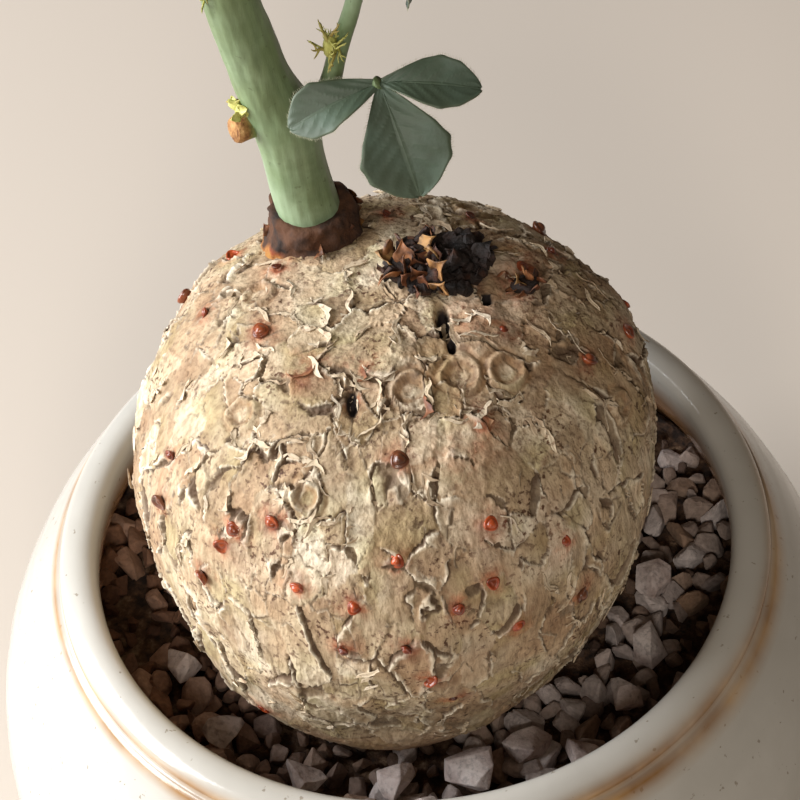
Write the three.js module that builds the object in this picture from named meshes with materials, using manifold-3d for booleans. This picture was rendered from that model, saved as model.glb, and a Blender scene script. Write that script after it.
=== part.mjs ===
// Potted jatropha: a round, flaking caudex with one stem, a side shoot and three-part leaves,
// bedded in gravel in a wheel-thrown, white-glazed stoneware pot.
// Millimetres, +Z up, origin at the centre of the pot's foot on the ground.

import * as THREE from 'three';
import { mergeVertices } from 'three/addons/utils/BufferGeometryUtils.js';
import Module from 'manifold-3d';

const wasm = await Module();
wasm.setup();

// ---- driving dimensions -------------------------------------------------------------------
const GAP = 0.35;              // clearance between pieces that touch

const OPENING_R = 40;          // pot mouth, at the inside of the lip
const RIM_Z = 88;              // top of the lip
const LIP_R = 44.7;            // outside of the lip, where the glaze breaks to tan
const BELLY_R = 56;            // widest part of the pot
const FOOT_R = 36;             // outside of the foot ring
const FOOT_INNER_R = 31.5;     // inside of the foot ring
const FOOT_RECESS = 2.5;       // height of the pot's underside above the ground
const FLOOR_Z = 6.5;           // top of the pot's floor
const DRAIN_R = 6;             // drain hole
const POT_SIDES = 40;

const SCREEN_R = 11;           // plastic mesh over the drain hole
const SCREEN_THICK = 0.8;
const SCREEN_PITCH = 4.2;
const DRAINAGE_TOP = 17;       // coarse stones at the bottom
const MIX_TOP = 66;            // gritty potting mix
const BED_TOP = 70;            // top of the gravel dressing

const CAUDEX_X = -1.5;         // caudex axis at LEAN_Z, leaning slightly to +X as it rises
const CAUDEX_Y = -2.4;
const LEAN = 0.066;
const LEAN_Z = 100;
const CAUDEX_SIDES = 32;

const STEM_SIDES = 10;
const PETIOLE_R = 0.55;
const BLADE_THICK = 0.7;       // at the midrib
const LEAF_SIDES = 10;
const LEAF_RINGS = 8;

// ---- materials ----------------------------------------------------------------------------
function material(color, roughness) {
  return new THREE.MeshStandardMaterial({ color, roughness, metalness: 0 });
}

const glaze = material(0xe6e1d8, 0.25);
const plastic = material(0x2c3a2e, 0.6);
const pumice = material(0xcfc6b4, 0.95);
const soil = material(0x3a2a20, 0.95);
const gravel = material(0x8c7f76, 0.9);
const paleStone = material(0xc9c1bd, 0.85);
const bark = material(0xbfa98a, 0.8);
const deadWood = material(0x3b2419, 0.95);
const cork = material(0x6b4a2a, 0.9);
const stemSkin = material(0x9dbb95, 0.5);
const leafSkin = material(0x47605a, 0.55);
const scar = material(0xa8803f, 0.8);
const budSkin = material(0x8f9a45, 0.6);

// ---- geometry helpers ---------------------------------------------------------------------
const plant = new THREE.Group();

function addPiece(name, geometry, mat) {
  const mesh = new THREE.Mesh(geometry, mat);
  mesh.name = name;
  plant.add(mesh);
  return mesh;
}

// A closed geometry as a manifold solid, with its shared corners welded.
function toSolid(geometry) {
  const bare = geometry.clone();
  bare.deleteAttribute('normal');
  bare.deleteAttribute('uv');
  const welded = mergeVertices(bare, 1e-4);
  const index = welded.index.array;
  const triangles = [];
  for (let i = 0; i < index.length; i += 3) {
    const [a, b, c] = [index[i], index[i + 1], index[i + 2]];
    if (a !== b && b !== c && c !== a) {
      triangles.push(a, b, c);
    }
  }
  return new wasm.Manifold(new wasm.Mesh({
    numProp: 3,
    vertProperties: new Float32Array(welded.attributes.position.array),
    triVerts: new Uint32Array(triangles),
  }));
}

function toGeometry(solid) {
  const mesh = solid.getMesh();
  const geometry = new THREE.BufferGeometry();
  geometry.setAttribute('position', new THREE.BufferAttribute(mesh.vertProperties, 3));
  geometry.setIndex(new THREE.BufferAttribute(mesh.triVerts, 1));
  return geometry;
}

// Solid of revolution about Z from [radius, height] points.
function turned(points, sides) {
  const profile = points.map(([r, z]) => new THREE.Vector2(Math.max(0, r), z));
  const geometry = new THREE.LatheGeometry(profile, sides);
  geometry.rotateX(Math.PI / 2);
  return geometry;
}

// Rounded limb along a path: radiusAt(t) is its radius from t = 0 at the base to t = 1 at the tip.
function limb(points, radiusAt, rings, sides = STEM_SIDES) {
  const path = new THREE.CatmullRomCurve3(points.map((p) => new THREE.Vector3(...p)));
  const frames = path.computeFrenetFrames(rings, false);
  const profile = [new THREE.Vector2(0, 0)];
  for (let i = 0; i <= rings; i += 1) {
    profile.push(new THREE.Vector2(radiusAt(i / rings), i));
  }
  profile.push(new THREE.Vector2(0, rings));
  const geometry = new THREE.LatheGeometry(profile, sides);
  const position = geometry.attributes.position;
  for (let i = 0; i < position.count; i += 1) {
    const ring = Math.round(position.getY(i));
    const place = path.getPointAt(ring / rings)
      .addScaledVector(frames.normals[ring], position.getX(i))
      .addScaledVector(frames.binormals[ring], -position.getZ(i));
    position.setXYZ(i, place.x, place.y, place.z);
  }
  return geometry;
}

// ---- pot ----------------------------------------------------------------------------------
function splinePoints(points, count) {
  const curve = new THREE.SplineCurve(points.map(([r, z]) => new THREE.Vector2(r, z)));
  return curve.getPoints(count).map((p) => [p.x, p.y]);
}

const outerWall = splinePoints([
  [FOOT_R + 1, 1.4], [42, 9], [49, 23], [54.4, 39], [BELLY_R, 54],
  [54.4, 66], [50.4, 76], [46.4, 83], [LIP_R + 0.5, 84.9],
], 14);

const lip = [
  [LIP_R - 0.3, 85.3], [LIP_R, 85.9], [LIP_R - 0.5, 87.1], [LIP_R - 1.7, RIM_Z - 0.15],
  [LIP_R - 3, RIM_Z], [OPENING_R + 0.5, RIM_Z - 0.5], [OPENING_R, RIM_Z - 1.5],
];

const innerWall = splinePoints([
  [OPENING_R - 0.1, 85], [OPENING_R + 0.4, 80.5], [43.6, 75], [48.6, 67], [51.4, 56],
  [50.6, 42], [46, 25], [38.5, 11.5], [33, FLOOR_Z + 0.6],
], 14);

const footRing = [
  [DRAIN_R, FOOT_RECESS], [FOOT_INNER_R, FOOT_RECESS], [FOOT_INNER_R + 0.8, 0],
  [FOOT_R, 0],
];
const potFloor = [[30, FLOOR_Z], [DRAIN_R, FLOOR_Z], [DRAIN_R, FOOT_RECESS]];
addPiece('pot', turned([...footRing, ...outerWall, ...lip, ...innerWall, ...potFloor], POT_SIDES), glaze);

// ---- fillings -----------------------------------------------------------------------------
// The pot's inner wall between two heights, bottom first, drawn in by the clearance.
function wallBetween(low, high) {
  const wall = [...innerWall].reverse();
  function radiusAt(z) {
    const above = wall.findIndex(([, height]) => height >= z);
    const [r0, z0] = wall[above - 1];
    const [r1, z1] = wall[above];
    return r0 + (r1 - r0) * (z - z0) / (z1 - z0);
  }
  const between = wall.filter(([, z]) => z > low + 1 && z < high - 1);
  return [[radiusAt(low), low], ...between, [radiusAt(high), high]].map(([r, z]) => [r - GAP, z]);
}

function layer(low, high) {
  return turned([[0, low], ...wallBetween(low, high), [0, high]], POT_SIDES);
}

function drainScreen() {
  const disc = new THREE.CylinderGeometry(SCREEN_R, SCREEN_R, SCREEN_THICK, 24);
  let screen = toSolid(disc);
  const hole = SCREEN_PITCH * 0.72;
  for (let i = -2; i <= 2; i += 1) {
    for (let j = -2; j <= 2; j += 1) {
      const [x, y] = [i * SCREEN_PITCH, j * SCREEN_PITCH];
      if (Math.hypot(x, y) < SCREEN_R - hole) {
        const punch = new THREE.BoxGeometry(hole, SCREEN_THICK * 3, hole);
        punch.translate(x, 0, y);
        screen = screen.subtract(toSolid(punch));
      }
    }
  }
  const geometry = toGeometry(screen);
  geometry.rotateX(Math.PI / 2);
  geometry.translate(0, 0, FLOOR_Z + GAP + SCREEN_THICK / 2);
  return geometry;
}

addPiece('drain_screen', drainScreen(), plastic);
addPiece('drainage_stones', layer(FLOOR_Z + SCREEN_THICK + 2 * GAP, DRAINAGE_TOP), pumice);

// ---- caudex with its tap root ---------------------------------------------------------------
const caudexProfile = [
  [0, 26], [2.4, 29], [4, 38], [6.5, 48], [10, 57], [14.6, 64.5], [18.8, 70.5], [23.4, 78],
  [26.8, 86], [29.3, 94], [31, 102], [31.3, 110], [29.4, 118], [25, 125], [17.5, 130.4],
  [8.5, 132.8], [0, 133.2],
];

// grow pushes the whole surface outwards, for the hollow it leaves in its neighbours.
function caudex(grow = 0) {
  const curve = new THREE.SplineCurve(caudexProfile.map(([r, z]) => new THREE.Vector2(r, z)));
  const steps = 26;
  const points = [];
  for (let i = 0; i <= steps; i += 1) {
    const point = curve.getPoint(i / steps);
    const along = curve.getTangent(i / steps);
    const atEnd = i === 0 || i === steps;
    const rise = i === 0 ? -grow : grow;
    points.push(atEnd ? [0, point.y + rise] : [point.x + along.y * grow, point.y - along.x * grow]);
  }
  const geometry = turned(points, CAUDEX_SIDES);
  const position = geometry.attributes.position;
  for (let i = 0; i < position.count; i += 1) {
    const [x, y, z] = [position.getX(i), position.getY(i), position.getZ(i)];
    const turn = Math.atan2(y, x);
    const swell = 1 + 0.012 * Math.sin(3 * turn + z / 9) + 0.009 * Math.sin(5 * turn - z / 7);
    position.setX(i, x * swell + CAUDEX_X + LEAN * (z - LEAN_Z));
    position.setY(i, y * swell + CAUDEX_Y);
  }
  return geometry;
}

const caudexRoom = toSolid(caudex(GAP));
addPiece('caudex', caudex(), bark);
addPiece('potting_mix', toGeometry(toSolid(layer(DRAINAGE_TOP + GAP, MIX_TOP)).subtract(caudexRoom)), soil);
addPiece('gravel_bed', toGeometry(toSolid(layer(MIX_TOP + GAP, BED_TOP)).subtract(caudexRoom)), gravel);

// ---- larger stones of the top dressing ------------------------------------------------------
// [x, y, half length, half width, half height, turn in degrees]
const stones = [
  [4.6, -26.2, 3.8, 2.9, 2.2, 10], [-5.2, -26.6, 2.7, 2.2, 1.9, 60], [11.6, -23.4, 2.6, 2.2, 2, 130],
  [17.8, -25, 3, 2.3, 2, 35], [24, -18, 2.9, 2.2, 2.1, 80], [28.6, -10.6, 3.1, 2.4, 2, 100],
  [-10.6, -31, 2.6, 2, 1.8, 20], [-17.4, -24.6, 2.9, 2.2, 1.9, 150], [-1.6, -32.6, 2.6, 2.2, 1.7, 75],
  [7.4, -33.4, 2.5, 2, 1.8, 5], [30.4, 0.4, 2.8, 2.2, 1.9, 55], [28.6, 11.6, 2.6, 2.1, 1.8, 140],
  [20.4, 22.6, 2.9, 2.3, 2, 25], [6.6, 28.2, 2.7, 2.2, 1.9, 95], [-9, 28.4, 3, 2.2, 2, 165],
  [-23.2, 19.8, 2.8, 2.3, 1.9, 40], [-30.8, 7.6, 2.6, 2.1, 1.8, 115], [-31, -5.4, 2.9, 2.2, 1.9, 70],
  [-26.4, -16.8, 2.5, 2.1, 1.8, 10],
];

// An angular pebble: an icosahedron with its corners pushed in and out, lying on its broad side.
function stone([x, y, length, width, height, turn], number) {
  const geometry = new THREE.IcosahedronGeometry(1, 0);
  const position = geometry.attributes.position;
  for (let i = 0; i < position.count; i += 1) {
    const corner = new THREE.Vector3().fromBufferAttribute(position, i);
    const key = Math.round(corner.x * 7 + corner.y * 13 + corner.z * 29 + number * 5);
    corner.multiplyScalar(1.04 + 0.14 * Math.sin(key * 2.4));
    position.setXYZ(i, corner.x, corner.y, corner.z);
  }
  geometry.rotateX(number * 0.7);
  geometry.scale(length, width, height);
  geometry.rotateZ(THREE.MathUtils.degToRad(turn));
  geometry.computeBoundingBox();
  geometry.translate(x, y, BED_TOP + GAP - geometry.boundingBox.min.z);
  return geometry;
}

stones.forEach((place, i) => addPiece(`stone_${String(i + 1).padStart(2, '0')}`, stone(place, i), paleStone));

// ---- stems ----------------------------------------------------------------------------------
const STEM_FOOT = [-7.9, 12.6, 127.5];   // sunk into the caudex's shoulder
const NODE_Z = 149;                      // swollen node where the side shoot and a leaf leave

const stemPath = [
  STEM_FOOT, [-8, 12.6, 132], [-9, 13, 139], [-9.5, 13, 145], [-10, 13, 149.5], [-11.5, 12.5, 155],
  [-12.6, 12, 161], [-14, 11, 170], [-15.4, 10.2, 180], [-16.4, 9.6, 190], [-16.8, 9.4, 196],
];
const stemTop = stemPath[stemPath.length - 1][2];
const nodeAt = (NODE_Z - STEM_FOOT[2]) / (stemTop - STEM_FOOT[2]);

function stemRadius(t) {
  const taper = 3.85 - 1.2 * t;
  const swelling = 0.45 * Math.exp(-(((t - nodeAt) / 0.05) ** 2));
  const shoulder = Math.sqrt(Math.min(1, (1 - t) / 0.05 + 0.15));
  return (taper + swelling) * shoulder;
}

const shootPath = [
  [-8.8, 12.8, 147.6], [-6, 12.4, 150.4], [-4.3, 12.1, 154.4], [-3.2, 12, 158.6], [-1.8, 12, 163],
  [-0.4, 12, 167.5], [1.2, 12, 173.5], [2.2, 12, 179], [2.6, 12, 184],
];

function shootRadius(t) {
  return (0.8 + 1.1 * Math.exp(-t * 7) + 0.3 * (1 - t)) * Math.sqrt(Math.min(1, (1 - t) / 0.04 + 0.3));
}

const stemSolid = toSolid(limb(stemPath, stemRadius, 22)).subtract(caudexRoom);
const stemRoom = toSolid(limb(stemPath, (t) => stemRadius(t) + GAP, 22));
const shootSolid = toSolid(limb(shootPath, shootRadius, 14, 8)).subtract(stemRoom);
const shootRoom = toSolid(limb(shootPath, (t) => shootRadius(t) + GAP, 14, 8));

addPiece('main_stem', toGeometry(stemSolid), stemSkin);
addPiece('side_shoot', toGeometry(shootSolid), stemSkin);

// Corky collar round the foot of the stem.
const collar = turned([[0, 0], [5.6, 0], [5.7, 3.2], [5.1, 5.6], [4.4, 7.4], [0, 7.4]], 12);
collar.translate(-8, 12.6, 126.5);
addPiece('stem_collar', toGeometry(toSolid(collar).subtract(stemRoom).subtract(caudexRoom)), cork);

// ---- dead stub of the old crown, a cut petiole, buds and stipules -------------------------------
// A lumpy knob: a ball squashed to its half sizes, ridged round its waist, cut clear of its neighbours.
function knob(centre, halves, ridges, cutters) {
  const geometry = new THREE.SphereGeometry(1, 10, 6);
  const position = geometry.attributes.position;
  for (let i = 0; i < position.count; i += 1) {
    const corner = new THREE.Vector3().fromBufferAttribute(position, i);
    const turn = Math.atan2(corner.z, corner.x);
    const waist = Math.hypot(corner.x, corner.z);
    const ridge = 1 + ridges * waist * Math.sin(5 * turn + 3 * corner.y);
    position.setXYZ(i, corner.x * ridge, corner.y * ridge, corner.z * ridge);
  }
  geometry.rotateX(Math.PI / 2);
  geometry.scale(...halves);
  geometry.translate(...centre);
  return toGeometry(cutters.reduce((solid, cutter) => solid.subtract(cutter), toSolid(geometry)));
}

addPiece('dead_crown', knob([6.2, 2, 132.6], [6.6, 5, 4.6], 0.12, [caudexRoom]), deadWood);
addPiece('crown_scab', knob([15.4, -0.6, 130.2], [2.2, 2.1, 2.8], 0.1, [caudexRoom]), deadWood);
addPiece('cut_petiole', knob([-14.4, 11.6, 149.6], [1.9, 1.5, 1.4], 0.06, [stemRoom]), scar);
addPiece('axillary_bud', knob([-14.1, 11.4, 152.9], [1.2, 1.1, 1.3], 0.06, [stemRoom]), budSkin);
addPiece('stipules_shoot', knob([-4.6, 10.6, 160.6], [1.3, 1.2, 2.2], 0.1, [shootRoom]), budSkin);
addPiece('stipules_stem', knob([-17.6, 9.4, 171.4], [1.1, 1, 1.2], 0.1, [stemRoom]), budSkin);
addPiece('stem_tip_bud', knob([-16.9, 9.4, 198.9], [1.5, 1.5, 2.4], 0.08, [stemRoom]), budSkin);
addPiece('shoot_tip_bud', knob([2.7, 12, 185.9], [0.9, 0.9, 1.5], 0.08, [shootRoom]), budSkin);

// ---- leaves -------------------------------------------------------------------------------------
// A leaf is one piece: a slender petiole that ends in three leaflets, folded along their midribs.
function vector(p) {
  return new THREE.Vector3(...p);
}

function leaflet(start, { tip, width, face, fold = 0.25, arch = 0.8 }) {
  const geometry = new THREE.SphereGeometry(1, LEAF_SIDES, LEAF_RINGS);
  const along = vector(tip).sub(start);
  const across = new THREE.Vector3().crossVectors(vector(face), along).normalize();
  const up = new THREE.Vector3().crossVectors(along, across).normalize();
  const position = geometry.attributes.position;
  for (let i = 0; i < position.count; i += 1) {
    const [x, y, z] = [position.getX(i), position.getY(i), position.getZ(i)];
    const u = Math.acos(THREE.MathUtils.clamp(y, -1, 1)) / Math.PI;
    const ring = Math.hypot(x, z) || 1;
    const spread = (x / ring) * (width / 2) * Math.sin(Math.PI * u ** 1.35) ** 0.8;
    const lift = (z / ring) * (BLADE_THICK / 2) * Math.sin(Math.PI * u) ** 0.5;
    const place = start.clone().addScaledVector(along, u)
      .addScaledVector(across, spread)
      .addScaledVector(up, lift + Math.abs(spread) * fold + arch * Math.sin(Math.PI * u));
    position.setXYZ(i, place.x, place.y, place.z);
  }
  return geometry;
}

const leaves = {
  leaf_low: {
    petiole: [[-7.2, 9.6, 147.8], [-4.4, 8.6, 150.4], [-1, 8, 154.8], [1.3, 8, 158]],
    leaflets: [
      { tip: [-9.2, 5.2, 154.9], width: 5.6, face: [0.1, -0.5, 1], fold: 0.35 },
      { tip: [4.6, 0, 147.4], width: 9.4, face: [0.1, -0.75, 0.66], fold: 0.15, arch: 1.2 },
      { tip: [12.6, 7.2, 156.2], width: 5.6, face: [0.05, -0.45, 1] },
    ],
  },
  leaf_shoot_front: {
    petiole: [[2.4, 10.9, 174.5], [3.3, 10.2, 177], [4.6, 9.4, 180], [5.6, 9, 182]],
    leaflets: [
      { tip: [5.3, 9.4, 167.8], width: 5.2, face: [0.9, -0.5, 0.2], fold: 0.2 },
      { tip: [3, -1.8, 183.6], width: 6.4, face: [0.2, 0.3, 1] },
      { tip: [17, 5.6, 180.4], width: 6.2, face: [0.1, -0.3, 1] },
    ],
  },
  leaf_shoot_back: {
    petiole: [[3, 13.4, 179.6], [4.4, 15.4, 183], [6, 17.8, 187], [7, 19.4, 189.6]],
    leaflets: [
      { tip: [-2.4, 26, 188.4], width: 6, face: [0, 0.3, 1] },
      { tip: [8.6, 30.4, 185.6], width: 7, face: [0, 0.4, 1] },
      { tip: [18, 19.6, 187.6], width: 6, face: [0.2, 0.2, 1] },
    ],
  },
  leaf_stem_left: {
    petiole: [[-18.4, 9.6, 176.6], [-22, 8.4, 180], [-25.6, 7.4, 185], [-27.4, 7, 188.4]],
    leaflets: [
      { tip: [-28.4, -3, 190.4], width: 7, face: [0, -0.2, 1] },
      { tip: [-40.6, 5.6, 181.8], width: 8.4, face: [-0.4, 0, 1] },
      { tip: [-31, 18.6, 185.4], width: 7, face: [0, 0.2, 1] },
    ],
  },
  leaf_stem_right: {
    petiole: [[-13.2, 8.4, 184.4], [-11, 6, 189], [-8.8, 3.4, 194], [-7.8, 2.2, 196.8]],
    leaflets: [
      { tip: [-17.4, -5.6, 193.8], width: 6.4, face: [0, -0.3, 1] },
      { tip: [-4.4, -10.4, 191], width: 8, face: [0.1, -0.4, 1] },
      { tip: [4.6, 4.8, 193.4], width: 6.4, face: [0.2, 0, 1] },
    ],
  },
  leaf_stem_back: {
    petiole: [[-17.6, 12.6, 190], [-19, 16, 194.6], [-20.4, 19.6, 199.4], [-21, 21.2, 202]],
    leaflets: [
      { tip: [-32, 22.6, 199.4], width: 6.2, face: [-0.2, 0.1, 1] },
      { tip: [-23.6, 33.6, 198], width: 7.4, face: [0, 0.4, 1] },
      { tip: [-10.4, 25.4, 199.8], width: 6.2, face: [0.2, 0.2, 1] },
    ],
  },
};

for (const [name, { petiole, leaflets }] of Object.entries(leaves)) {
  const joint = vector(petiole[petiole.length - 1]);
  const knuckle = new THREE.SphereGeometry(PETIOLE_R * 1.5, 8, 6);
  knuckle.translate(joint.x, joint.y, joint.z);
  let leaf = toSolid(limb(petiole, () => PETIOLE_R, 6, 6)).add(toSolid(knuckle));
  for (const blade of leaflets) {
    leaf = leaf.add(toSolid(leaflet(joint, blade)));
  }
  addPiece(name, toGeometry(leaf.subtract(stemRoom).subtract(shootRoom)), leafSkin);
}

export default plant;
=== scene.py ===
import math

import bmesh
import bpy
import numpy as np
from mathutils import Matrix, Vector


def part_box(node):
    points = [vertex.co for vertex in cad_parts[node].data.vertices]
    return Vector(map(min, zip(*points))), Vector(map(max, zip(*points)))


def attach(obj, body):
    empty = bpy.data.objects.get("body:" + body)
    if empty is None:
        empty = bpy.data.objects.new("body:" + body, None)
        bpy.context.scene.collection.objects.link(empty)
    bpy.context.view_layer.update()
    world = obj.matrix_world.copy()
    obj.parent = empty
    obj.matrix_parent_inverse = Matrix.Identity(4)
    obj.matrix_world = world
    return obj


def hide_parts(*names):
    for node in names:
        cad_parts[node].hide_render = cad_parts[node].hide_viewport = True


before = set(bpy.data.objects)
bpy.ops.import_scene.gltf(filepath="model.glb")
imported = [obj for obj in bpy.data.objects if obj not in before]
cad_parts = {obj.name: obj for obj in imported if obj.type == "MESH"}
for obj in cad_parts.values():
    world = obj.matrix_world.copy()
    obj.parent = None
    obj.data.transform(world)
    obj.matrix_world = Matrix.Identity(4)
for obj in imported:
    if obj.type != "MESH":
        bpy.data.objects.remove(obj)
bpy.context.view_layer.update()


# ---- Camera, floor and lights ---------------------------------------------------------------
# The plant is looked down on from in front, from an arm's length, with the camera tipped a little clockwise.
# It stands on a pale floor, by a broad soft window light on its left, with a weak warm fill all round.
MM = 0.001
pot_low, pot_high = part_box("pot")
LOOK_DOWN = math.radians(49.4)
TIP = math.radians(-5.7)
DISTANCE = 0.396
AIM_ABOVE_RIM = 0.025
LENS_MM = 148.5
SENSOR_MM = 36

camera_data = bpy.data.cameras.new("camera")
camera_data.lens = LENS_MM
camera_data.sensor_width = SENSOR_MM
camera = bpy.data.objects.new("camera", camera_data)
bpy.context.collection.objects.link(camera)
camera_place = Vector((0.0001, -DISTANCE * math.cos(LOOK_DOWN),
                       pot_high.z + DISTANCE * math.sin(LOOK_DOWN) + AIM_ABOVE_RIM))
camera_turn = Matrix.Rotation(math.pi / 2 - LOOK_DOWN, 4, "X") @ Matrix.Rotation(TIP, 4, "Z")
camera.matrix_world = Matrix.Translation(camera_place) @ camera_turn
bpy.context.scene.camera = camera
bpy.context.scene.view_settings.view_transform = "Standard"


def linear(red, green, blue):
    """A colour given in everyday 0 to 255 steps, as the shader wants it."""
    def channel(value):
        value = value / 255
        return value / 12.92 if value <= 0.04045 else ((value + 0.055) / 1.055) ** 2.4
    return (channel(red), channel(green), channel(blue), 1.0)


def new_mesh(name, points, faces, smooth=True):
    """A mesh object from an array of points in metres and a list or array of faces, linked to the scene."""
    mesh = bpy.data.meshes.new(name)
    mesh.from_pydata(np.asarray(points, dtype=float).tolist(), [],
                     faces.tolist() if hasattr(faces, "tolist") else faces)
    mesh.validate()
    mesh.polygons.foreach_set("use_smooth", [smooth] * len(mesh.polygons))
    mesh.update()
    made = bpy.data.objects.new(name, mesh)
    bpy.context.collection.objects.link(made)
    return made


class Finish:
    """A node material under construction: a Principled shader and short calls that add what feeds it."""

    def __init__(self, name, roughness=0.5, **inputs):
        self.material = bpy.data.materials.new(name)
        self.material.use_nodes = True
        self.tree = self.material.node_tree
        self.shader = self.tree.nodes["Principled BSDF"]
        self.shader.inputs["Roughness"].default_value = roughness
        for key, value in inputs.items():
            self.shader.inputs[key.replace("_", " ")].default_value = value
        self.place = self.tree.nodes.new("ShaderNodeTexCoord").outputs["Object"]

    def add(self, kind, **settings):
        node = self.tree.nodes.new(kind)
        for key, value in settings.items():
            setattr(node, key, value)
        return node

    def link(self, source, target):
        self.tree.links.new(source, target)

    def stretched(self, scale):
        """Object coordinates stretched by three factors, for a pattern with a grain."""
        mapping = self.add("ShaderNodeMapping")
        mapping.inputs["Scale"].default_value = scale
        self.link(self.place, mapping.inputs["Vector"])
        return mapping.outputs["Vector"]

    def noise(self, scale, detail=4, roughness=0.55, where=None):
        node = self.add("ShaderNodeTexNoise")
        node.inputs["Scale"].default_value = scale
        node.inputs["Detail"].default_value = detail
        node.inputs["Roughness"].default_value = roughness
        self.link(where or self.place, node.inputs["Vector"])
        return node.outputs["Fac"]

    def ramp(self, value, *stops):
        """A colour ramp: each stop is a position and a colour or a grey level."""
        node = self.add("ShaderNodeValToRGB")
        elements = node.color_ramp.elements
        while len(elements) < len(stops):
            elements.new(0.5)
        for element, (position, color) in zip(elements, stops):
            element.position = position
            element.color = color if hasattr(color, "__len__") else (color, color, color, 1)
        self.link(value, node.inputs["Fac"])
        return node.outputs["Color"]

    def mix(self, amount, first, second, blend="MIX"):
        node = self.add("ShaderNodeMix", data_type="RGBA", blend_type=blend)
        for value, socket in ((amount, node.inputs[0]), (first, node.inputs[6]), (second, node.inputs[7])):
            if hasattr(value, "links"):
                self.link(value, socket)
            else:
                socket.default_value = value
        return node.outputs[2]

    def math(self, operation, first, second=0.0):
        node = self.add("ShaderNodeMath", operation=operation)
        for value, socket in zip((first, second), node.inputs):
            if hasattr(value, "links"):
                self.link(value, socket)
            else:
                socket.default_value = value
        return node.outputs[0]

    def attribute(self, name, output="Fac"):
        return self.add("ShaderNodeAttribute", attribute_name=name).outputs[output]

    def color(self, value):
        if hasattr(value, "links"):
            self.link(value, self.shader.inputs["Base Color"])
        else:
            self.shader.inputs["Base Color"].default_value = value

    def rough(self, value):
        self.link(value, self.shader.inputs["Roughness"])

    def bump(self, height, depth, strength=1.0):
        node = self.add("ShaderNodeBump")
        node.inputs["Distance"].default_value = depth
        node.inputs["Strength"].default_value = strength
        self.link(height, node.inputs["Height"])
        previous = self.shader.inputs["Normal"]
        if previous.links:
            self.link(previous.links[0].from_socket, node.inputs["Normal"])
        self.link(node.outputs["Normal"], previous)


FLOOR_HALF = 3.0
floor = new_mesh("floor", [(-FLOOR_HALF, -FLOOR_HALF, 0), (FLOOR_HALF, -FLOOR_HALF, 0),
                           (FLOOR_HALF, FLOOR_HALF, 0), (-FLOOR_HALF, FLOOR_HALF, 0)], [(0, 1, 2, 3)])
floor_finish = Finish("pale_floor", roughness=0.7)
floor_finish.color(linear(206, 196, 184))
floor.data.materials.append(floor_finish.material)


def area_light(name, place, target, size, power, color):
    light = bpy.data.lights.new(name, "AREA")
    light.shape = "RECTANGLE"
    light.size, light.size_y = size
    light.energy = power
    light.color = color
    lamp = bpy.data.objects.new(name, light)
    bpy.context.collection.objects.link(lamp)
    lamp.location = place
    lamp.rotation_euler = (Vector(target) - Vector(place)).to_track_quat("-Z", "Y").to_euler()


area_light("window", (-0.6, 0.02, 0.38), (0, 0, 0.1), (0.5, 0.5), 10.5, (0.97, 0.98, 1.0))
area_light("far_window", (-0.05, -0.62, 0.55), (0, 0, 0.09), (0.12, 0.16), 2.1, (1.0, 0.93, 0.85))
world = bpy.data.worlds.new("room")
bpy.context.scene.world = world
world.use_nodes = True
world.node_tree.nodes["Background"].inputs["Color"].default_value = linear(226, 202, 176)
world.node_tree.nodes["Background"].inputs["Strength"].default_value = 0.15


# ---- Pot --------------------------------------------------------------------------------------
# Wheel-thrown stoneware: a round belly, a short neck and a thick rolled lip, dipped in a white glaze.
# The glaze runs thin under the lip, where it fires tan; painted shade darkens it to tan-brown inside the
# neck. The foot is bare clay.
POT_AROUND = 288
BELLY = (pot_high.x - pot_low.x) / 2 / MM
RIM_Z = pot_high.z / MM
LIP_OUT = 44.7
MOUTH = 40.0
THROWING_RINGS = 0.05
EDGE_WIDTH = 1.0


def smooth_line(points, count):
    """Catmull-Rom curve through the points, with count points at even distances along it."""
    knots = np.asarray(points, dtype=float)
    padded = np.vstack([2 * knots[0] - knots[1], knots, 2 * knots[-1] - knots[-2]])
    t = np.linspace(0, 1, 12, endpoint=False)[:, None]
    spans = []
    for before, start, end, after in zip(padded, padded[1:], padded[2:], padded[3:]):
        spans.append(0.5 * (2 * start + (end - before) * t
                            + (2 * before - 5 * start + 4 * end - after) * t ** 2
                            + (3 * start - before - 3 * end + after) * t ** 3))
    dense = np.vstack(spans + [knots[-1:]])
    along = np.concatenate([[0], np.cumsum(np.linalg.norm(np.diff(dense, axis=0), axis=1))])
    wanted = np.linspace(0, along[-1], count)
    return np.stack([np.interp(wanted, along, dense[:, k]) for k in range(knots.shape[1])], axis=1)


def lattice_noise(points, scale, seed):
    """Smooth random values from -1 to 1 on points in millimetres, one feature per 1 / scale millimetres."""
    place = points * scale + seed * 17.31
    cell = np.floor(place).astype(np.int64)
    part = place - cell
    part = part * part * (3 - 2 * part)
    total = np.zeros(len(points))
    for corner in range(8):
        step = np.array([corner & 1, corner >> 1 & 1, corner >> 2 & 1])
        key = (cell + step) @ np.array([73856093, 19349663, 83492791]) + seed * 265443
        key = (key ^ (key >> 13)) * 1274126177 & 0x7FFFFFFF
        value = (key ^ (key >> 15)) % 10007 / 5003.5 - 1
        total += value * np.prod(np.where(step == 1, part, 1 - part), axis=1)
    return total


def ring_grid(columns, rows, closed_rows):
    """Quads of a grid that closes round its columns, and round its rows too if closed_rows."""
    row_count = rows if closed_rows else rows - 1
    row, column = np.meshgrid(np.arange(row_count), np.arange(columns), indexing="ij")
    next_row, next_column = (row + 1) % rows, (column + 1) % columns
    quads = [row * columns + column, row * columns + next_column, next_row * columns + next_column,
             next_row * columns + column]
    return np.stack(quads, axis=-1).reshape(-1, 4)


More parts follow.
